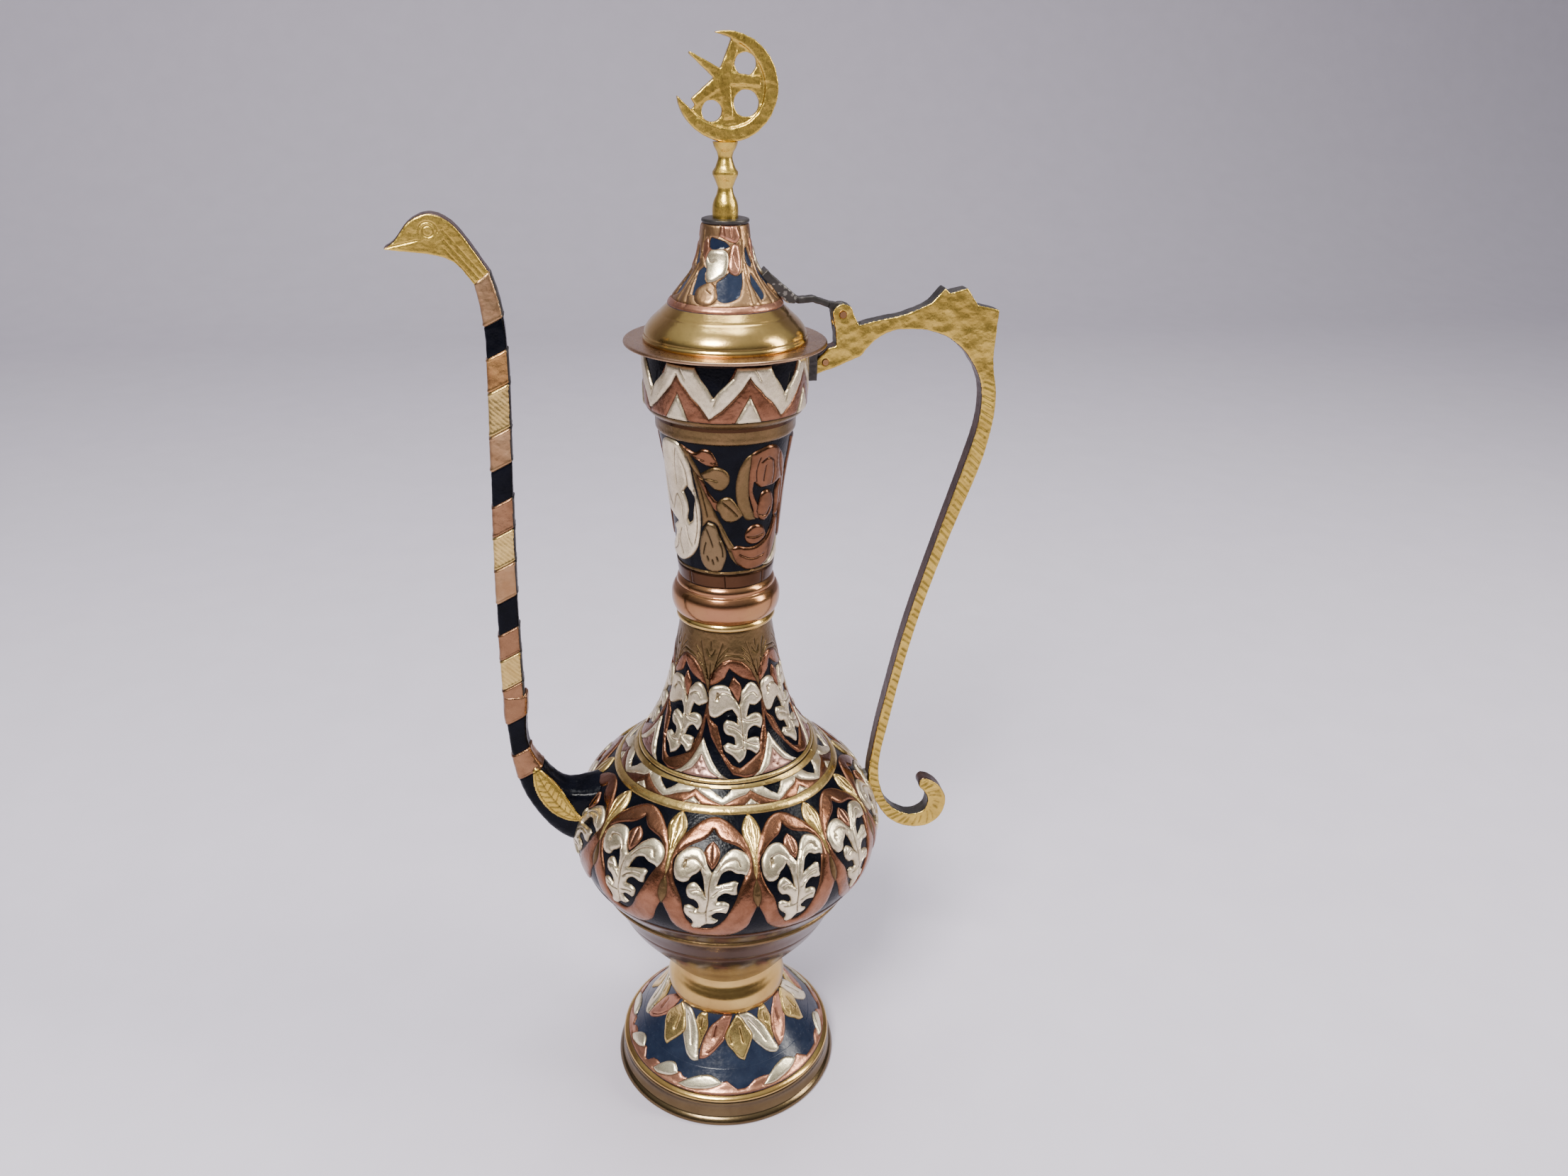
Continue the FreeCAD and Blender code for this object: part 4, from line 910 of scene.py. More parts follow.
def flare_cuts():
    edge = 28.5
    cuts = [([(-19, 39), (-19, 36.4)], 0.8, 1.1)]
    stem = [(4, 33), (4.6, 27), (4.4, 21), (3.8, 14)]
    cuts += [(stem, 0.45, 0.4)]
    cuts += [(branch, 0.4, 0.36) for branch in ([(5.4, 34), (10, 37.6), (18, 38.6), (22, 36.6)],
                                                [(2.4, 34.4), (-6, 38.6), (-14, 39.4), (-21, 36)],
                                                [(5, 27), (12, 26), (20, 26)],
                                                [(4.2, 26.6), (-2, 29.2), (-10, 29)],
                                                [(4.4, 20), (-3, 23.4), (-9, 24.6)],
                                                [(4.6, 18), (11, 16), (15, 15.2)],
                                                [(3.8, 15), (-2, 14.4), (-8, 15.8)], [(9, 21), (15, 21.4)])]
    for reach, rise in ((20, 59), (17, 56), (19, 53), (14, 61)):
        cuts += [([(edge - 2, 45), (edge - 9, (45 + rise) / 2 + 2), (edge - reach, rise)], 0.3, 0.22),
                 ([(edge + 2, 45), (edge + 9, (45 + rise) / 2 + 2), (edge + reach, rise)], 0.3, 0.22)]
    cuts += [([(edge - 5, 58), (edge, 55.4), (edge + 5, 58)], 0.35, 0.28),
             ([(edge, 61.5), (edge, 58.6)], 0.4, 0.3), ([(edge, 52), (edge, 43)], 0.35, 0.25),
             ([(-10, 56.4), (0, 55.8), (10, 54.6), (18, 50.6)], 0.3, 0.22)]
    for across, up in ((0, 8.6), (-3.4, 5.9), (3.4, 5.9), (0, 4.6)):
        cuts += [([(edge + across - 0.5, up), (edge + across + 0.5, up)], 0.6, 0.4)]
    return cuts


def neck_shapes():
    """Half of the upper neck: a silver leaf column, a copper sprig and a big copper paisley."""
    silver = [(-91, 10.4), (-75, 10), (-62, 10.2), (-55, 11.5), (-47, 14), (-42, 16.5), (-38, 19),
              (-36, 21), (-33, 26), (-32, 31), (-33, 38), (-36, 42), (-38, 46), (-39, 50), (-41, 55),
              (-44.5, 59), (-50, 63), (-69, 63.2), (-77, 59), (-82, 53), (-88, 45), (-91, 36), (-88, 30.5),
              (-76, 29.4), (-66, 27.6), (-74, 25), (-72, 22), (-79, 18), (-89, 14)]
    drop = [(-25, 30.5), (-31, 26), (-35, 21.5), (-37, 16.5), (-34.4, 11.4), (-28, 8.7), (-20, 8.1),
            (-12, 8.7), (-8, 12), (-6, 16), (-8, 19.6), (-13, 24.5), (-18.5, 29.6)]
    trunk = [(-50, 63.4), (-45, 62.6), (-36, 56.5), (-30, 51), (-24.5, 43.6), (-20.5, 37.5), (-15, 32.4),
             (-9.4, 27.6), (-3, 22.5), (4, 18.6), (12, 16), (20, 14), (14, 9.6), (6, 11), (-1, 14),
             (-6, 18.6), (-12, 24.6), (-18, 30), (-24, 31), (-31, 27.6), (-31, 33), (-34, 41), (-37, 48),
             (-40, 55), (-45, 59.6)]
    top_leaf = [(-47, 63), (-40, 61.6), (-33, 60.6), (-27, 62.4), (-21, 62.2), (-16, 59), (-13, 55.6),
                (-20, 54.8), (-27, 55.8), (-34, 57.6)]
    middle_leaf = [(-30, 51.4), (-24, 53.4), (-17, 55), (-9, 54.2), (-4, 51.8), (-3, 49), (-6, 46.2),
                   (-12, 44.4), (-18, 45), (-23, 47), (-27, 48.6)]
    crook = [(-36, 52), (-28, 47.6), (-23.4, 43.4), (-17, 40), (-10, 38), (-5, 36.4), (-10, 34.6),
             (-17, 35.6), (-23, 39.4), (-29, 45)]
    leaf = [(-14, 40), (-8, 41.6), (-3, 41.7), (2, 39.8), (7, 36.5), (11, 33.6), (5, 31.4), (-3, 30.5),
            (-9, 31.3), (-14, 34.4), (-16.6, 37.4)]
    bud = [(13.6, 24.4), (14.6, 22), (18, 20.4), (25, 19.8), (35, 20.8), (41, 23), (37, 26.4), (30, 28.4),
           (22, 28.6), (17, 27.2)]
    low_leaf = [(-2, 18.4), (5, 19.8), (15, 19), (26, 19), (34, 20), (44, 22.6), (50, 26.4), (53, 30),
                (60, 29), (62, 22), (58, 15.6), (50, 11), (40, 9), (28, 8.3), (16, 8.6), (6, 11.6)]
    strip = [(5, 38), (2.6, 44), (3, 50), (6, 55), (11, 58.6), (18, 60.8), (17, 52), (15, 44), (18, 38),
             (25, 31), (15, 31.2), (9, 34.8)]
    paisley = [(17, 60.4), (25, 62), (33, 62.9), (41, 62), (48, 59.4), (55, 55.6), (61, 50), (64, 43),
               (63, 35), (58, 29.6), (52, 30), (51.6, 36), (50, 41), (53, 45.6), (48, 44.6), (38, 44.2),
               (27, 44.6), (20, 47.4), (19.6, 43.4), (23, 40), (27, 37), (29.4, 31), (25.6, 31.2),
               (20, 36.4), (15.6, 42), (14.4, 48), (15, 55)]
    eye = [(27, 38.6), (30.4, 42), (36, 43), (42, 42), (46.4, 39.6), (48, 36.4), (46.4, 33), (41, 30.4),
           (35.4, 29.4), (30, 30.4), (26, 34)]
    flank = [(66, 62.6), (70, 50), (66, 38), (67, 26), (74, 18), (80, 16), (85, 26), (80, 38), (84, 50),
             (82, 62.6)]
    small_silver = [(38, 8.9), (50, 10.2), (60, 14.6), (65, 20.6), (70, 14), (78, 10), (62, 8.4), (48, 8.2)]
    return [
        girdle("spun_brown", -1, 6.5, rise=0.35, bevel=0.8),
        girdle("olive", 6.7, 8.0, rise=0.45, bevel=0.5),
        Shape("silver", silver, 1.0, 1.2),
        Shape("black", [(-45, 45), (-38.9, 41.6), (-37.9, 40), (-39.5, 35.5), (-43, 30), (-48, 28.5),
                        (-50, 30), (-47, 34), (-47.5, 38), (-51.5, 42)], 0.0, 0.5),
        Shape("silver", small_silver, 0.9, 1.0),
        Shape("olive", strip, 0.7, 1.4),
        Shape("olive", trunk, 0.8, 1.6),
        Shape("russet", low_leaf, 0.95, 1.6),
        Shape("russet", flank, 0.9, 1.6),
        Shape("russet", paisley, 1.0, 1.6),
        Shape("russet", eye, 1.05, 1.6),
        Shape("russet", bud, 1.0, 1.5),
        Shape("russet", top_leaf, 0.95, 1.3),
        Shape("olive", middle_leaf, 1.0, 1.3),
        Shape("russet", crook, 0.95, 1.2),
        Shape("olive", leaf, 0.95, 1.5),
        Shape("olive", drop, 1.0, 1.4, tone=0.5),
    ]


def neck_cuts():
    cuts = [(line, 0.45, 0.38) for line in ([(-26, 27.4), (-22.6, 23.6), (-20, 20)],
                                            [(-27, 21.6), (-29.6, 18.6), (-31, 16.4)],
                                            [(-13.6, 22), (-10.6, 18.6), (-10, 15.6)],
                                            [(-16, 28.4), (-9, 21.4), (-2, 17.4)],
                                            [(-45, 60), (-38, 53), (-32, 46), (-28, 39), (-25, 33)],
                                            [(-41, 60.8), (-33, 58.6), (-26, 57.8)],
                                            [(-38, 54), (-30, 49.4), (-22, 49.6), (-15, 49)],
                                            [(-19, 57), (-15.6, 56.6)],
                                            [(-70, 33), (-60, 40), (-56, 37), (-57, 31)],
                                            [(-52, 26.6), (-50, 21.6), (-46, 18.4)],
                                            [(-59, 45), (-58, 52), (-53, 61)],
                                            [(-44, 46), (-45, 52), (-48, 56)],
                                            [(-60, 14), (-64, 20), (-60, 25)],
                                            [(-38, 44), (-36, 36), (-36.4, 27), (-42, 20)],
                                            [(-80, 45), (-78, 38), (-72, 34)],
                                            [(26, 56), (33, 57.6), (40, 55.6)], [(31, 54), (30, 47.6)],
                                            [(40, 55), (43, 49), (42, 46)], [(24, 58), (21, 52), (22, 48)],
                                            [(46, 58), (50, 52), (56, 47)],
                                            [(-80, 13), (-70, 16), (-66, 21)],
                                            [(28, 33), (36, 32), (42, 35)],
                                            [(-10, 39.6), (-3, 37.2), (5, 33.6)],
                                            [(16, 24), (26, 23.4), (34, 24)],
                                            [(8, 16), (22, 13.6), (38, 14.4)],
                                            [(56, 44), (58, 37), (56, 32)],
                                            [(74, 56), (75, 42), (73, 32), (75, 22)])]
    for across, up in ((-26, 14.4), (-20.4, 13), (-15.4, 14.4)):
        cuts += [([(across - 0.6, up + 0.8), (across + 0.6, up - 0.8)], 0.6, 0.5)]
    for across in (-53, -8, 40, 80):
        cuts += [([(across, 5.8), (across + 0.6, 0.6)], 0.5, 0.3)]
    return cuts


def make_neck():
    flare = joined([(39.2, 183.3), (33.4, 192), (28.5, 202), (25.2, 212), (22.9, 222), (21.2, 232),
                    (19.8, 240), (19.0, 246)])
    front_seams = [-78, -26, 29.5, 80]
    back_step = (front_seams[0] + 360 - front_seams[-1]) / 4
    seams = front_seams + [front_seams[-1] + back_step * i for i in range(1, 5)]
    relief("neck_flare", "pot", flare, seams, 28.5, "black", flare_shapes(), flare_cuts(),
           grid=0.85, sway=0.35)
    bead = joined([(19.0, 246), (20.9, 246.2), (21.1, 247.4), (20.4, 248.7)],
                  [(20.4, 248.7), (21.8, 250.4), (22.8, 253.2), (23, 256.2), (22.6, 258.8), (21.5, 261)],
                  [(21.5, 261), (20.6, 261.6), (20.8, 262.6), (20.4, 264.2), (19.4, 265.4)], step=0.45)
    lathe("neck_bead", "pot", walled(bead, 1.2), ["spun_copper", "spun_brass"],
          [(260.9, 0), (248.8, 1)])
    upper = joined([(19.4, 265.4), (20.3, 274.4), (21.1, 283.4), (21.9, 292), (22.7, 300.4), (23.5, 308),
                    (24.5, 315), (25.8, 322), (27.1, 329)])
    relief("upper_neck", "pot", upper, [-91, 89, 269], 90.0, "black", neck_shapes(),
           neck_cuts(), grid=0.8, sway=0.25)
    band = joined([(27.1, 329), (27.9, 329.6), (28.3, 332.6), (28.4, 336)], step=0.5)
    lathe("neck_band", "pot", walled(band, 1.2), ["spun_brown", "olive"], [(334.5, 1)])
    collar = joined([(28.4, 336), (30.6, 337.4), (32.1, 340)], [(32.1, 340), (32.1, 363)])
    arms = [(0, 6.5), (-3, 9), (-7, 12), (-13, 14.8), (-16, 17), (-20.8, 19.7), (-24, 22.4), (-26, 26.0),
            (-9, 26.0), (-5, 22), (-1, 19), (3.5, 14.8), (7, 17.5), (12, 20.3), (15.6, 22.4), (18.4, 26.0),
            (31, 26.0), (28.6, 23), (25, 20.5), (22, 18), (18, 15.5), (14, 13), (9, 10), (4, 8), (2, 7)]
    relief("mouth_collar", "pot", collar, 6.8 + 360 / 7 * np.arange(8), 25.7, "black", [
        girdle("olive", -1, 4.6, rise=0.3, bevel=0.8),
        girdle("copper", 4.9, 26.4, rise=0.5, bevel=0.8),
        Shape("black", [(-8.6, 26.2), (-5, 22), (-1, 19), (3.3, 14.8), (7, 17.5), (12, 20.3), (17.8, 26.2)],
              0.0, 0.5, smooth=False),
        Shape("silver", arms, 0.9, 0.9, smooth=False),
        Shape("silver", moved([(-9, 5), (9, 5), (5.4, 9.6), (0.6, 15), (-4.6, 9.8)], 26.6), 0.9, 0.9,
              smooth=False),
        girdle("black", 26.3, 30, rise=0.0),
    ], [([(9.4, 22), (6.6, 16.4), (3.6, 12)], 0.35, 0.2), ([(-20, 25), (-16, 21)], 0.35, 0.2)],
           grid=0.9, sway=0.4)
    flange = joined([(30, 363), (39.2, 363)], [(39.2, 363), (39.75, 363.3), (39.75, 364.1), (39.2, 364.4)],
                    [(39.2, 364.4), (30, 364.4)], step=0.6)
    lathe("rim_flange", "pot", flange[:-1], ["spun_pink"], unevenness=0.06)


# ---------------------------------------------------------------- lid


def cone_shapes():
    """A third of the cone: navy windows between copper and tan flames, a silver spot and a tan leaf."""
    silver = [(-50, 20), (-44, 18), (-40, 14.6), (-33, 12.7), (-25, 13), (-15, 14.4), (-7, 15.7),
              (-2, 18.4), (0, 21), (-2, 24), (-8, 25), (-20, 25.4), (-35, 25.2), (-45, 24)]
    tan_leaf = [(-46, 10), (-40, 11.6), (-33, 12.5), (-25, 12.5), (-20, 11.5), (-16, 9), (-15, 7), (-18, 5),
                (-22, 3.8), (-38, 3.8), (-45, 6)]
    centre = [(-14, 6), (-16, 9), (-17, 13), (-10, 14.6), (-5, 15.7), (0, 16.8), (5, 16), (10, 15.6),
              (18, 16), (24, 17), (20, 13), (15, 10), (10, 7), (2, 5.5), (-8, 4.9)]
    rose = [(0, 17.4), (5, 16.2), (10, 15.8), (18, 16.6), (23, 18.6), (26, 22), (24, 27), (14, 27.4),
            (5, 25), (1, 22)]
    left = [(-58, 17), (-52, 18.5), (-45, 18), (-43, 15), (-40, 13.5), (-36, 12.5), (-42, 10), (-47, 9),
            (-46, 7), (-50, 7), (-55, 12)]
    upper = [(-43, 28), (-38, 29.5), (-28, 29.4), (-15, 28.5), (-5, 27.6), (3, 26.4), (-5, 25.8),
             (-20, 25.6), (-35, 25.5), (-42, 26)]
    right = [(37, 22.6), (39, 25.6), (44, 26), (50, 23), (54, 20), (48, 18.6), (41, 19.4)]
    far = [(36, 14), (41, 16.4), (46, 12), (44, 6), (38, 5)]
    return [
        girdle("tan", -1, 35, rise=0.55, bevel=0.9),
        girdle("pink_copper", -1, 3.0, rise=0.6, bevel=0.9),
        Shape("pink_copper", [(-62, 24), (-52, 20.4), (-46, 21), (-36, 24), (-30, 24.6), (-42, 27.6),
                              (-52, 29), (-60, 28)], 0.7, 1.0),
        Shape("navy", left, 0.0, 0.5),
        Shape("navy", centre, 0.0, 0.5),
        Shape("navy", upper, 0.0, 0.5),
        Shape("navy", right, 0.0, 0.5),
        Shape("navy", far, 0.0, 0.5),
        Shape("silver", silver, 1.0, 1.4, tone=-0.1),
        Shape("pink_copper", rose, 0.9, 1.3, tone=0.5),
        Shape("tan", tan_leaf, 0.95, 1.5),
        Shape("pink_copper", [(-20, 30), (0, 28.4), (20, 28), (30, 30), (22, 34.5), (-16, 34.5)], 0.8, 1.2,
              tone=0.3),
    ]


def cone_cuts():
    return [([(30, 33), (30, 22), (27, 10), (24, 2)], 0.5, 0.4),
            ([(56, 32), (57, 22), (53, 10), (54, 2)], 0.5, 0.4),
            ([(34, 20), (33, 10), (34, 3)], 0.45, 0.35), ([(-60, 14), (-54, 5), (-50, 2)], 0.45, 0.35),
            ([(-44, 22.4), (-34, 20.6), (-24, 21)], 0.45, 0.3), ([(-32, 9.5), (-24, 8)], 0.4, 0.25),
            ([(-10, 33.4), (-8, 30)], 0.5, 0.35), ([(8, 33.4), (10, 29.4)], 0.5, 0.35),
            ([(10, 24), (16, 19)], 0.4, 0.3),]


def make_lid():
    dome = joined([(31.9, 364.4), (32.3, 365.2), (31.9, 366.4)],
                  [(31.9, 366.4), (31.3, 368.6), (29.6, 371.2), (26.5, 374.2), (22.4, 378)], step=0.45)
    dome = ring_groove(dome, 366.6, 0.3, 0.5)
    dome = ring_groove(dome, 375.0, 0.2, 0.6)
    lathe("lid_dome", "lid", walled(dome, 1.1), ["spun_brass"])
    cone = joined([(22.4, 378), (19, 382.3), (16.1, 386), (12.9, 390.4), (10.7, 395.4), (9.3, 402),
                   (8.4, 408.2)], step=0.6)
    relief("lid_cone", "lid", cone, [-62, 58, 178, 298], 60.0, "navy", cone_shapes(),
           cone_cuts(), grid=0.7, wall=1.0, sway=0.3)
    cap = joined([(0.02, 408.2), (8.6, 408.2)], [(8.6, 408.2), (9.0, 408.6), (8.9, 409.6), (8.4, 409.8)],
                 [(8.4, 409.8), (0.02, 409.8)], step=0.6)
    lathe("lid_cap", "lid", cap, ["iron"], columns=96)
    post = joined([(0.02, 409.8), (4.8, 409.8)], [(4.8, 409.8), (4.9, 412), (4.75, 414.4)],
                  [(4.75, 414.4), (4.3, 416), (3.2, 418.4), (2.8, 420.6)],
                  [(2.8, 420.6), (3.7, 422.8), (4.8, 425.2)], [(4.8, 425.2), (4.8, 426.2)],
                  [(4.8, 426.2), (3.7, 427.8), (3.2, 429.2), (2.7, 431), (3.2, 433.2)],
                  [(3.2, 433.2), (4.2, 435), (4.7, 436.6)], [(4.7, 436.6), (0.02, 436.7)], step=0.4)
    lathe("finial_stem", "lid", post, ["gold"], columns=96, unevenness=0.06)


# ---------------------------------------------------------------- castings


def copied(node, voxel):
    """A fine evenly meshed copy of a CAD node, as vertices in mm and faces."""
    source = bpy.data.objects[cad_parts[node].name]
    mesh = source.data.copy()
    thing = bpy.data.objects.new(node + "_fine", mesh)
    bpy.context.scene.collection.objects.link(thing)
    thing.matrix_world = Matrix.Identity(4)
    remesh = thing.modifiers.new("fine", "REMESH")
    remesh.mode = "VOXEL"
    remesh.voxel_size = voxel * MM
    remesh.adaptivity = 0.0
    graph = bpy.context.evaluated_depsgraph_get()
    fine = bpy.data.meshes.new_from_object(thing.evaluated_get(graph))
    bpy.data.objects.remove(thing)
    return fine


def coordinates(mesh):
    flat = np.zeros(len(mesh.vertices) * 3)
    mesh.vertices.foreach_get("co", flat)
    return flat.reshape(-1, 3) / MM


def smooth_normals(mesh):
    flat = np.zeros(len(mesh.vertices) * 3)
    mesh.vertices.foreach_get("normal", flat)
    return flat.reshape(-1, 3)


def relaxed(mesh, rounds=2, share=0.5):
    """Evens out the steps that a voxel mesh leaves on slanting faces."""
    edges = np.zeros(len(mesh.edges) * 2, np.int64)
    mesh.edges.foreach_get("vertices", edges)
    edges = edges.reshape(-1, 2)
    place = coordinates(mesh)
    count = np.bincount(edges.ravel(), minlength=len(place))[:, None]
    for _ in range(rounds):
        total = np.zeros_like(place)
        np.add.at(total, edges[:, 0], place[edges[:, 1]])
        np.add.at(total, edges[:, 1], place[edges[:, 0]])
        place = place * (1 - share) + share * total / np.maximum(count, 1)
    mesh.vertices.foreach_set("co", (place * MM).ravel())
    mesh.update()
    return mesh


def facets(points, spacing, seed):
    """Hammer marks: the distance to the nearest of many scattered blows, from 0 to about 1."""
    local = np.random.default_rng(seed)
    low, high = points.min(0) - spacing, points.max(0) + spacing
    size = high - low
    count = np.maximum(1, (size / spacing).astype(int))
    jitter = local.uniform(0.15, 0.85, (*(count + 1), 3))
    cell = np.clip(((points - low) / size * count).astype(int), 0, count - 1)
    best = np.full(len(points), 1e9)
    for dx in (-1, 0, 1):
        for dy in (-1, 0, 1):
            for dz in (-1, 0, 1):
                near = np.clip(cell + (dx, dy, dz), 0, count)
                spot = low + (near + jitter[near[:, 0], near[:, 1], near[:, 2]]) * size / count
                best = np.minimum(best, np.linalg.norm(points - spot, axis=1))
    return np.clip(best / spacing, 0, 1.2)


def along(points, path):
    """Distance along a side-view path (x, z) and signed distance across it, for each point."""
    path = np.asarray(path, float)
    flat = points[:, [0, 2]]
    arc = lengths(path)
    run = np.diff(path, axis=0)
    square = (run ** 2).sum(1)
    best = np.full(len(flat), 1e9)
    place = np.zeros(len(flat))
    across = np.zeros(len(flat))
    for a, d, sq, start in zip(path, run, square, arc):
        t = np.clip(((flat - a) @ d) / sq, 0, 1)
        gap = flat - (a + t[:, None] * d)
        off = np.linalg.norm(gap, axis=1)
        nearer = off < best
        best = np.where(nearer, off, best)
        place = np.where(nearer, start + t * math.sqrt(sq), place)
        side = (gap[:, 0] * d[1] - gap[:, 1] * d[0]) / math.sqrt(sq)
        across = np.where(nearer, side, across)
    return place, across


def tick(value, half_width):
    return np.clip(1 - np.abs(value) / half_width, 0, 1)


def cast_piece(name, body, mesh, push, recess, finishes, face_finish):
    """Pushes a fine mesh along its normals, marks its recesses for painted shade and patina and puts it in
    place.
    """
    place = coordinates(mesh) + smooth_normals(mesh) * push[:, None]
    mesh.vertices.foreach_set("co", (place * MM).ravel())
    mesh.materials.clear()
    for finish in finishes:
        mesh.materials.append(FINISHES[finish])
    mesh.polygons.foreach_set("material_index", np.asarray(face_finish, np.int32))
    layer = mesh.attributes.new("recess", "FLOAT", "POINT")
    layer.data.foreach_set("value", np.asarray(recess, np.float32))
    mesh.update()
    mesh.shade_smooth()
    mesh.name = name
    thing = bpy.data.objects.new(name, mesh)
    bpy.context.scene.collection.objects.link(thing)
    return settle(thing, body, name)


def face_values(mesh):
    """Centre and normal of each face, in mm."""
    centres = np.zeros(len(mesh.polygons) * 3)
    mesh.polygons.foreach_get("center", centres)
    normals = np.zeros(len(mesh.polygons) * 3)
    mesh.polygons.foreach_get("normal", normals)
    return centres.reshape(-1, 3) / MM, normals.reshape(-1, 3)


HANDLE_PATH = [(46, 362), (58, 366), (72, 371), (90, 371), (102, 364), (107.6, 350), (109, 335),
               (107.4, 320), (102.4, 301), (96.6, 283), (90.4, 263), (84.4, 240), (79.4, 218), (75.2, 195),
               (71.6, 175), (69.4, 158), (71.6, 146), (76.8, 137.4), (84, 131), (92, 129.4), (99.4, 132.6),
               (101.4, 140), (98, 147), (93.4, 150)]


def make_handle():
    mesh = relaxed(copied("handle", 0.42))
    points, normals = coordinates(mesh), smooth_normals(mesh)
    path = through(HANDLE_PATH, 2.0)
    place, across = along(points, path)
    total = lengths(path)[-1]
    cheek = np.clip((np.abs(normals[:, 1]) - 0.75) / 0.15, 0, 1)
    plain = np.clip((place - 76) / 10, 0, 1)
    bar = plain * np.clip((total - 62 - place) / 10, 0, 1)
    pitch = 6.6
    slanted = place + 0.55 * across
    phase = (slanted / pitch) % 1.0
    short = np.clip((2.6 + 0.8 * np.sin(slanted // pitch * 2.4) - np.abs(across)) / 0.5, 0,
                    1) * cheek * plain
    groove = np.maximum(tick((phase - 0.2) * pitch, 0.55), tick((phase - 0.6) * pitch, 0.55)) * short
    lip = np.maximum(tick((phase - 0.34) * pitch, 0.5), tick((phase - 0.74) * pitch, 0.5)) * short
    hammer = facets(points, 4.2, 4)
    ends = 1 - bar
    ridged = np.sin(place / 3.1 + 0.5 * np.sin(across)) * ends * np.clip((place - 8) / 10, 0, 1)
    push = 0.42 * (hammer - 0.5) * (0.2 + 0.8 * ends) + 0.16 * ridged * cheek + 0.3 * lip - 0.4 * groove
    worn = facets(points, 1.7, 8) - 0.5
    push = push + 0.07 * worn
    # Painted shade and patina in the chisel grooves and the hammer dimples
    recess = np.clip(0.55 * groove + 0.5 * np.clip(0.42 - hammer, 0, 1) * ends, 0, 1)
    centres, facing = face_values(mesh)
    flat_across = along(centres, path)[1]
    edge = np.abs(facing[:, 1]) < 0.5
    finish = np.where(edge & (flat_across < 0), 2, np.where(edge, 1, 0))
    cast_piece("handle", "pot", mesh, push, recess, ["gold", "plum", "iron"], finish)


def make_crescent():
    mesh = relaxed(copied("crescent_star", 0.34), 1)
    points = coordinates(mesh)
    hammer = facets(points, 3.0, 21)
    push = 0.34 * (hammer - 0.5)
    # Painted shade and patina in the hammer dimples
    recess = np.clip(0.4 - hammer, 0, 1)
    cast_piece("crescent_star", "lid", mesh, push, recess, ["gold"],
               np.zeros(len(mesh.polygons), int))


def make_lever():
    mesh = relaxed(copied("lid_lever", 0.34), 1)
    points = coordinates(mesh)
    hammer = facets(points, 2.4, 23)
    solder = facets(points, 1.4, 24)
    push = 0.22 * (hammer - 0.5) + 0.1 * (solder - 0.5)
    centres, _ = face_values(mesh)
    near_cone = (centres[:, 0] < 27) & (centres[:, 2] < 386)
    finish = np.where(near_cone & (facets(centres, 2.0, 25) < 0.45), 1, 0)
    # The last mask is painted shade and patina in the hammer dimples
    cast_piece("lid_lever", "lid", mesh, push, np.clip(0.4 - hammer, 0, 1), ["iron", "solder"],
               finish)


def make_spout():
    make_spout_tube()
    make_spout_head()
    make_spout_root()


# Bands of the spout from the head down: (finish, length along the tube in mm).
TUBE_BANDS = (("tan", 14), ("black", 12), ("amber", 13), ("brass", 17), ("tan", 14), ("black", 14),
              ("umber", 13), ("brass", 14), ("tan", 15), ("black", 14), ("umber", 12), ("brass", 14),
              ("umber", 16), ("black", 16), ("umber", 13), ("black", 60))
BANDS_TOP = 386.0
BAND_SLOPE = 0.5


def band_joints():
    return BANDS_TOP - np.cumsum([length for _, length in TUBE_BANDS])


def split_bands(mesh, middle_x):
    """Cuts the casting along the slanted joints of its bands."""
    work = bmesh.new()
    work.from_mesh(mesh)
    for height in band_joints():
        every = work.verts[:] + work.edges[:] + work.faces[:]
        bmesh.ops.bisect_plane(work, geom=every, plane_co=(middle_x * MM, 0, height * MM),
                               plane_no=Vector((-BAND_SLOPE, 0, 1)).normalized(), dist=1e-7)
    work.to_mesh(mesh)
    work.free()
    mesh.update()


def band_of(points, middle_x):
    """Level along the slanted bands, distance to the nearest joint, and band number of each point."""
    joints = band_joints()
    level = points[:, 2] - BAND_SLOPE * (points[:, 0] - middle_x)
    gap = np.abs(level[:, None] - joints[:-1]).min(1)
    number = (level[:, None] < joints[:-1]).sum(1)
    return level, gap, number


def banded_push(points, normals, middle_x, seed):
    """Raised lips beside each joint, hatching on the brass bands and worn faces."""
    level, gap, number = band_of(points, middle_x)
    names = np.array([name for name, _ in TUBE_BANDS])[number]
    hatched = (names == "brass") & (gap > 1.5)
    raised = names != "black"
    cheek = np.abs(normals[:, 1]) > 0.6
    hatch = tick((((level * 0.8 + points[:, 0] * 1.2) / 1.7) % 1 - 0.5) * 1.7, 0.42) * hatched * cheek
    lip = tick(gap - 0.8, 0.5) * raised - 0.9 * tick(gap, 0.42)
    face = 0.28 * raised * np.clip(gap / 0.6, 0, 1)
    push = face + 0.24 * lip - 0.16 * hatch + 0.2 * (facets(points, 3.4, seed) - 0.5)
    # The second value is painted shade and patina in the joints and the hatching
    return push, np.maximum(tick(gap, 0.55), 0.4 * hatch)


def make_spout_tube():
    """Short slanted bands of coloured metal and black, parted by thin bright lips."""
    finishes = sorted({name for name, _ in TUBE_BANDS} | {"iron"})
    low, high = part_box("spout_tube")
    middle_x = (low[0] + high[0]) / 2 / MM
    mesh = relaxed(copied("spout_tube", 0.42))
    split_bands(mesh, middle_x)
    push, recess = banded_push(coordinates(mesh), smooth_normals(mesh), middle_x, 31)
    centres, facing = face_values(mesh)
    number = band_of(centres, middle_x)[2]
    index = np.array([finishes.index(name) for name, _ in TUBE_BANDS])
    side = (facing[:, 0] > 0.62) & (np.array([name for name, _ in TUBE_BANDS])[number] != "black")
    finish = np.where(side, finishes.index("iron"), index[number])
    cast_piece("spout_tube", "pot", mesh, push, recess, finishes, finish)


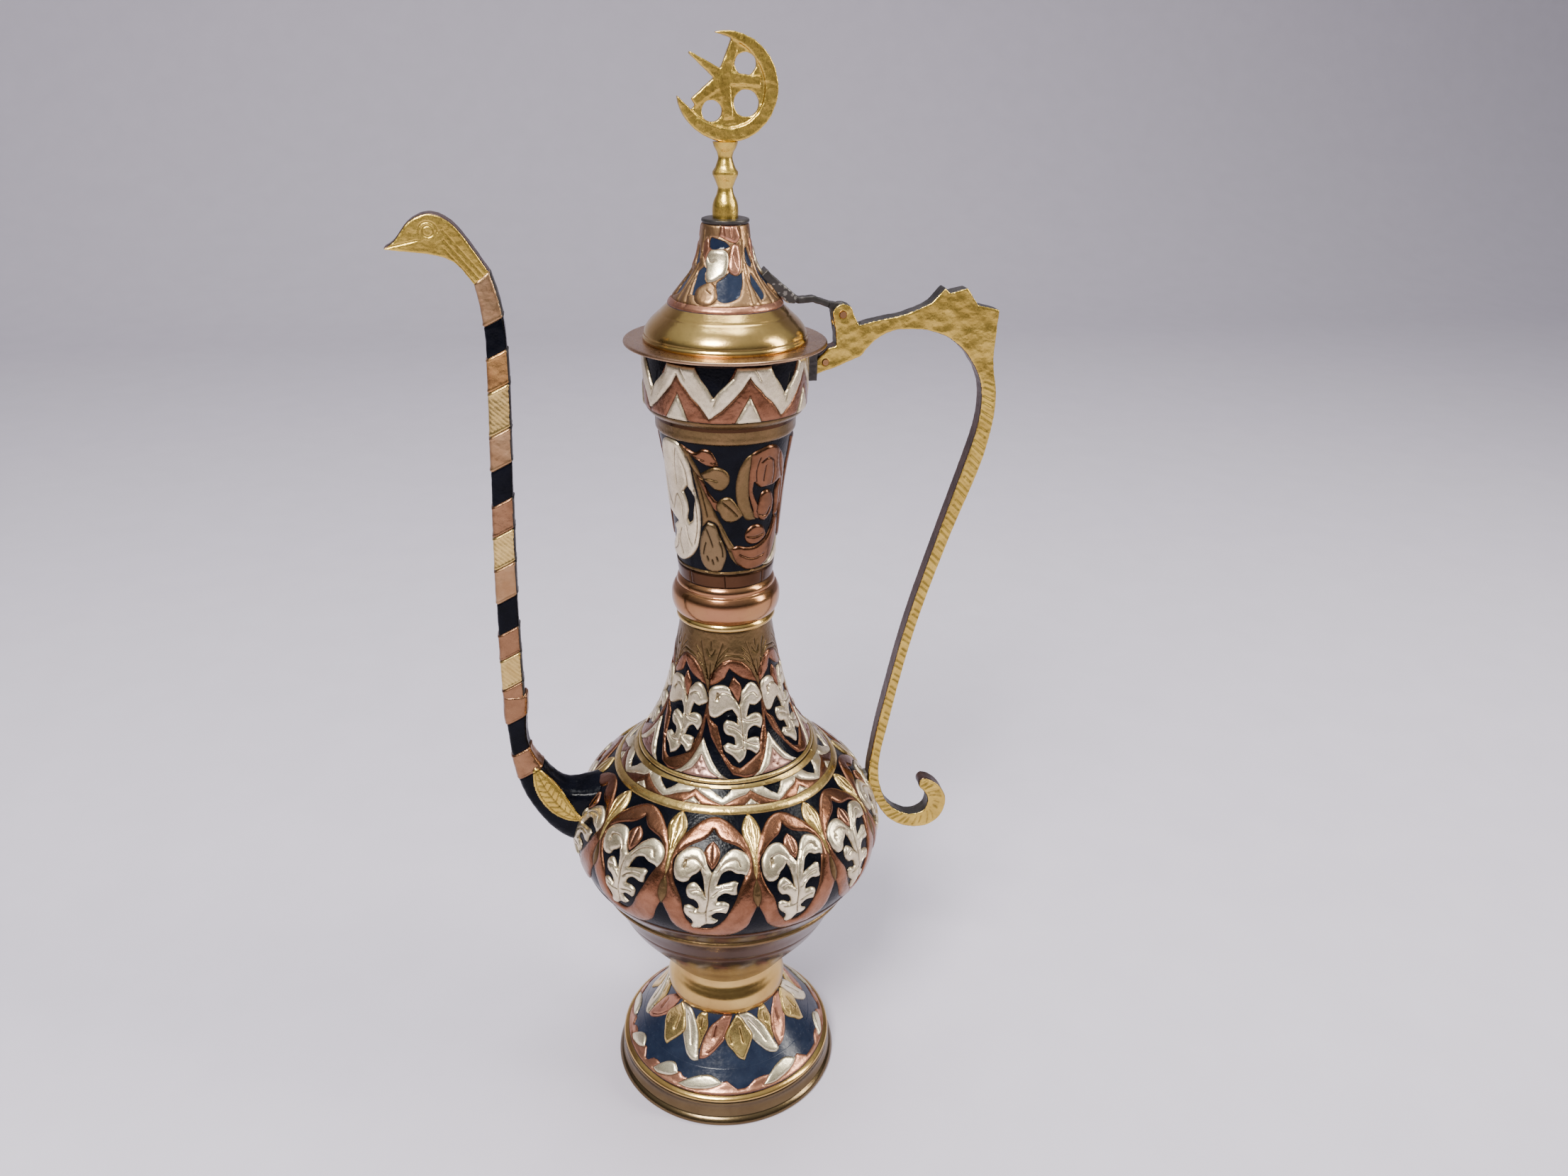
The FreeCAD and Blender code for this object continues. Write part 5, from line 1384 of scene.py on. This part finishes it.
def make_spout_head():
    mesh = relaxed(copied("spout_head", 0.3), 1)
    points, normals = coordinates(mesh), smooth_normals(mesh)
    cheek = np.clip((np.abs(normals[:, 1]) - 0.6) / 0.2, 0, 1)
    eye = (-108.0, 406.2)
    off = np.hypot(points[:, 0] - eye[0], points[:, 2] - eye[1])
    eye_line = tick(off - 1.9, 0.45)
    brow = tick(off - 3.3, 0.4) * (points[:, 2] > eye[1] - 0.6)
    beak = tick(points[:, 2] - (400.6 + 0.22 * (points[:, 0] + 123)), 0.4) * (points[:, 0] < -112)
    slanted = points[:, 0] + 0.8 * points[:, 2]
    ticks = tick(((slanted / 2.6) % 1 - 0.5) * 2.6, 0.4) * (points[:, 0] > -103)
    ticks = ticks * (points[:, 2] < 409 - 1.1 * (points[:, 0] + 104))
    cut = np.maximum.reduce([eye_line, brow, beak, ticks]) * cheek
    push = -0.4 * cut + 0.2 * (facets(points, 2.6, 41) - 0.5)
    _, facing = face_values(mesh)
    finish = np.where((facing[:, 2] > 0.35) & (np.abs(facing[:, 1]) < 0.7), 1, 0)
    finish = np.where((facing[:, 0] > 0.5) & (np.abs(facing[:, 1]) < 0.7), 1, finish)
    # cut also serves as the recess mask: painted shade and patina in the chiselled lines
    cast_piece("spout_head", "pot", mesh, push, cut, ["gold", "plum"], finish)


def make_spout_root():
    """The last bands, then a glossy black root with a raised gold leaf on its outer curve."""
    path = through([(-92, 213), (-91.6, 200), (-90.6, 185), (-87, 172.6), (-82, 162.4), (-75, 153.6),
                    (-66, 148)], 1.5)
    finishes = sorted({name for name, _ in TUBE_BANDS} | {"gold"})
    middle_x = -87.0
    mesh = relaxed(copied("spout_root", 0.42))
    split_bands(mesh, middle_x)
    points, normals = coordinates(mesh), smooth_normals(mesh)
    total = lengths(path)[-1]
    leaf_start = 36.0
    leaf_length = total - leaf_start - 2.0

    def leaf(spots):
        """Depth inside the gold leaf, in mm, negative outside, and distance along and across."""
        place, across = along(spots, path)
        share = np.clip((place - leaf_start) / leaf_length, 0, 1)
        width = 5.6 * np.sin(math.pi * share) ** 0.6 - 0.4
        return np.minimum(width - np.abs(-across - 3.4), 5.0), place, -across - 3.4

    depth, place, off = leaf(points)
    rim = tick(depth - 1.3, 0.45)
    vein = np.maximum(tick(off, 0.45),
                      tick(((place / 3.2 + np.abs(off) * 0.25) % 1 - 0.5) * 3.2, 0.42)) * (depth > 1.8)
    low_bands = np.clip((points[:, 2] - 172) / 1.0, 0, 1)
    band_push, band_recess = banded_push(points, normals, middle_x, 52)
    push = low_bands * band_push + 0.75 * np.clip(depth / 0.6, 0, 1) - 0.34 * np.maximum(vein, rim)
    push = push + 0.3 * (facets(points, 4.0, 51) - 0.5) * (1 - low_bands)
    # Painted shade and patina in the leaf's veins and rim and in the band joints
    recess = np.maximum(np.maximum(vein, rim) * (depth > 0), band_recess * low_bands)
    centres, _ = face_values(mesh)
    number = band_of(centres, middle_x)[2]
    index = np.array([finishes.index(name) for name, _ in TUBE_BANDS])
    finish = np.where(leaf(centres)[0] > 0.1, finishes.index("gold"), index[number])
    cast_piece("spout_root", "pot", mesh, push, recess, finishes, finish)


def make_small_parts():
    """Nodes that keep their CAD shape and only take a finish, or a rough skin."""
    for node, body, finish, voxel, rough in (
            ("bracket_pad", "pot", "iron", 0.4, 0.3), ("handle_solder", "pot", "solder", 0.3, 0.5)):
        mesh = relaxed(copied(node, voxel), 2)
        points = coordinates(mesh)
        hammer = facets(points, 2.4, 61)
        # The recess mask is painted shade and patina in the hammer dimples
        cast_piece(node, body, mesh, rough * (hammer - 0.5), np.clip(0.4 - hammer, 0, 1), [finish],
                   np.zeros(len(mesh.polygons), int))
    for node, finish in (("bracket_rivet", "spun_copper"), ("hinge_pin", "spun_copper"),
                         ("finial_nut", "spun_brass"), ("lid_sleeve", "spun_pink")):
        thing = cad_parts[node]
        thing.data.materials.clear()
        thing.data.materials.append(FINISHES[finish])


# ---------------------------------------------------------------- floor, light and camera


def plain_finish(name, colour, rough):
    r = Recipe(name)
    r.link(r.mix(r.ramp(r.noise(40.0, detail=5.0), 0.3, 0.7), colour, tuple(0.96 * c for c in colour)),
           r.shader.inputs["Base Color"])
    r.shader.inputs["Roughness"].default_value = rough
    return r.material


def make_stage():
    """A wide pale floor that curves up into a wall behind the pot."""
    reach, rise, bend = 6.0, 4.0, 0.8
    back = 1.6
    profile = [(-reach, 0.0), (back, 0.0)]
    turns = np.linspace(0.1, math.pi / 2, 14)
    profile += [(back + bend * math.sin(t), bend * (1 - math.cos(t))) for t in turns]
    profile += [(back + bend, rise)]
    vertices = [(side * reach, y, z) for y, z in profile for side in (-1, 1)]
    faces = [(2 * i, 2 * i + 1, 2 * i + 3, 2 * i + 2) for i in range(len(profile) - 1)]
    mesh = bpy.data.meshes.new("floor")
    mesh.from_pydata(vertices, [], faces)
    mesh.materials.append(plain_finish("pale_floor", (0.53, 0.49, 0.57), 0.85))
    mesh.shade_smooth()
    floor = bpy.data.objects.new("floor", mesh)
    bpy.context.scene.collection.objects.link(floor)


def area_light(name, place, target, size, power, colour):
    """A rectangular lamp, with place, target and size in metres and power in watts."""
    data = bpy.data.lights.new(name, "AREA")
    data.shape = "RECTANGLE"
    data.size, data.size_y = size
    data.energy = power
    data.color = colour
    light = bpy.data.objects.new(name, data)
    light.location = place
    light.rotation_euler = (Vector(target) - Vector(place)).to_track_quat("-Z", "Y").to_euler()
    bpy.context.scene.collection.objects.link(light)


def make_light():
    """A room of warm grey below, a dark band above the horizon and a pale ceiling, and three soft lamps."""
    world = bpy.data.worlds.new("studio")
    world.use_nodes = True
    tree = world.node_tree
    tree.nodes.clear()
    place = tree.nodes.new("ShaderNodeTexCoord")
    split = tree.nodes.new("ShaderNodeSeparateXYZ")
    ramp = tree.nodes.new("ShaderNodeValToRGB")
    background = tree.nodes.new("ShaderNodeBackground")
    output = tree.nodes.new("ShaderNodeOutputWorld")
    tree.links.new(place.outputs["Generated"], split.inputs[0])
    tree.links.new(split.outputs[2], ramp.inputs[0])
    tree.links.new(ramp.outputs[0], background.inputs[0])
    tree.links.new(background.outputs[0], output.inputs[0])
    ramp.color_ramp.elements[0].color = (0.40, 0.37, 0.35, 1)
    ramp.color_ramp.elements[1].position = 0.9
    ramp.color_ramp.elements[1].color = (0.95, 0.98, 1.0, 1)
    bands = {0.06: (0.11, 0.10, 0.095, 1), 0.2: (0.13, 0.12, 0.115, 1), 0.38: (0.42, 0.43, 0.45, 1)}
    for height, shade in bands.items():
        ramp.color_ramp.elements.new(height).color = shade
    background.inputs["Strength"].default_value = 0.72
    bpy.context.scene.world = world
    centre = (0, 0, 0.2)
    area_light("key", (-0.55, -1.0, 1.5), centre, (0.5, 0.5), 62, (1.0, 0.98, 0.95))
    area_light("side", (1.3, -0.4, 0.9), centre, (0.3, 1.0), 19, (1.0, 0.96, 0.9))
    area_light("top", (0.1, 0.2, 1.7), centre, (0.8, 0.8), 20, (0.95, 0.98, 1.0))


def make_camera():
    """The camera that matches the photo's view of the pot."""
    data = bpy.data.cameras.new("camera")
    data.sensor_width = 36.0
    data.lens = 27.65  # mm, on the sensor's 36 mm
    camera = bpy.data.objects.new("camera", data)
    camera.location = (-0.0653, -0.4642, 0.4720)
    yaw, pitch, roll = (math.radians(a) for a in (11.05, 24.61, -1.19))
    ahead = Vector((math.sin(yaw) * math.cos(pitch), math.cos(yaw) * math.cos(pitch), -math.sin(pitch)))
    turn = ahead.to_track_quat("-Z", "Y").to_matrix() @ Matrix.Rotation(-roll, 3, "Z")
    camera.rotation_euler = turn.to_euler()
    bpy.context.scene.collection.objects.link(camera)
    bpy.context.scene.camera = camera


make_finishes()
make_foot()
make_belly()
make_neck()
make_lid()
make_crescent()
make_handle()
make_lever()
make_spout()
make_small_parts()
make_stage()
make_light()
make_camera()
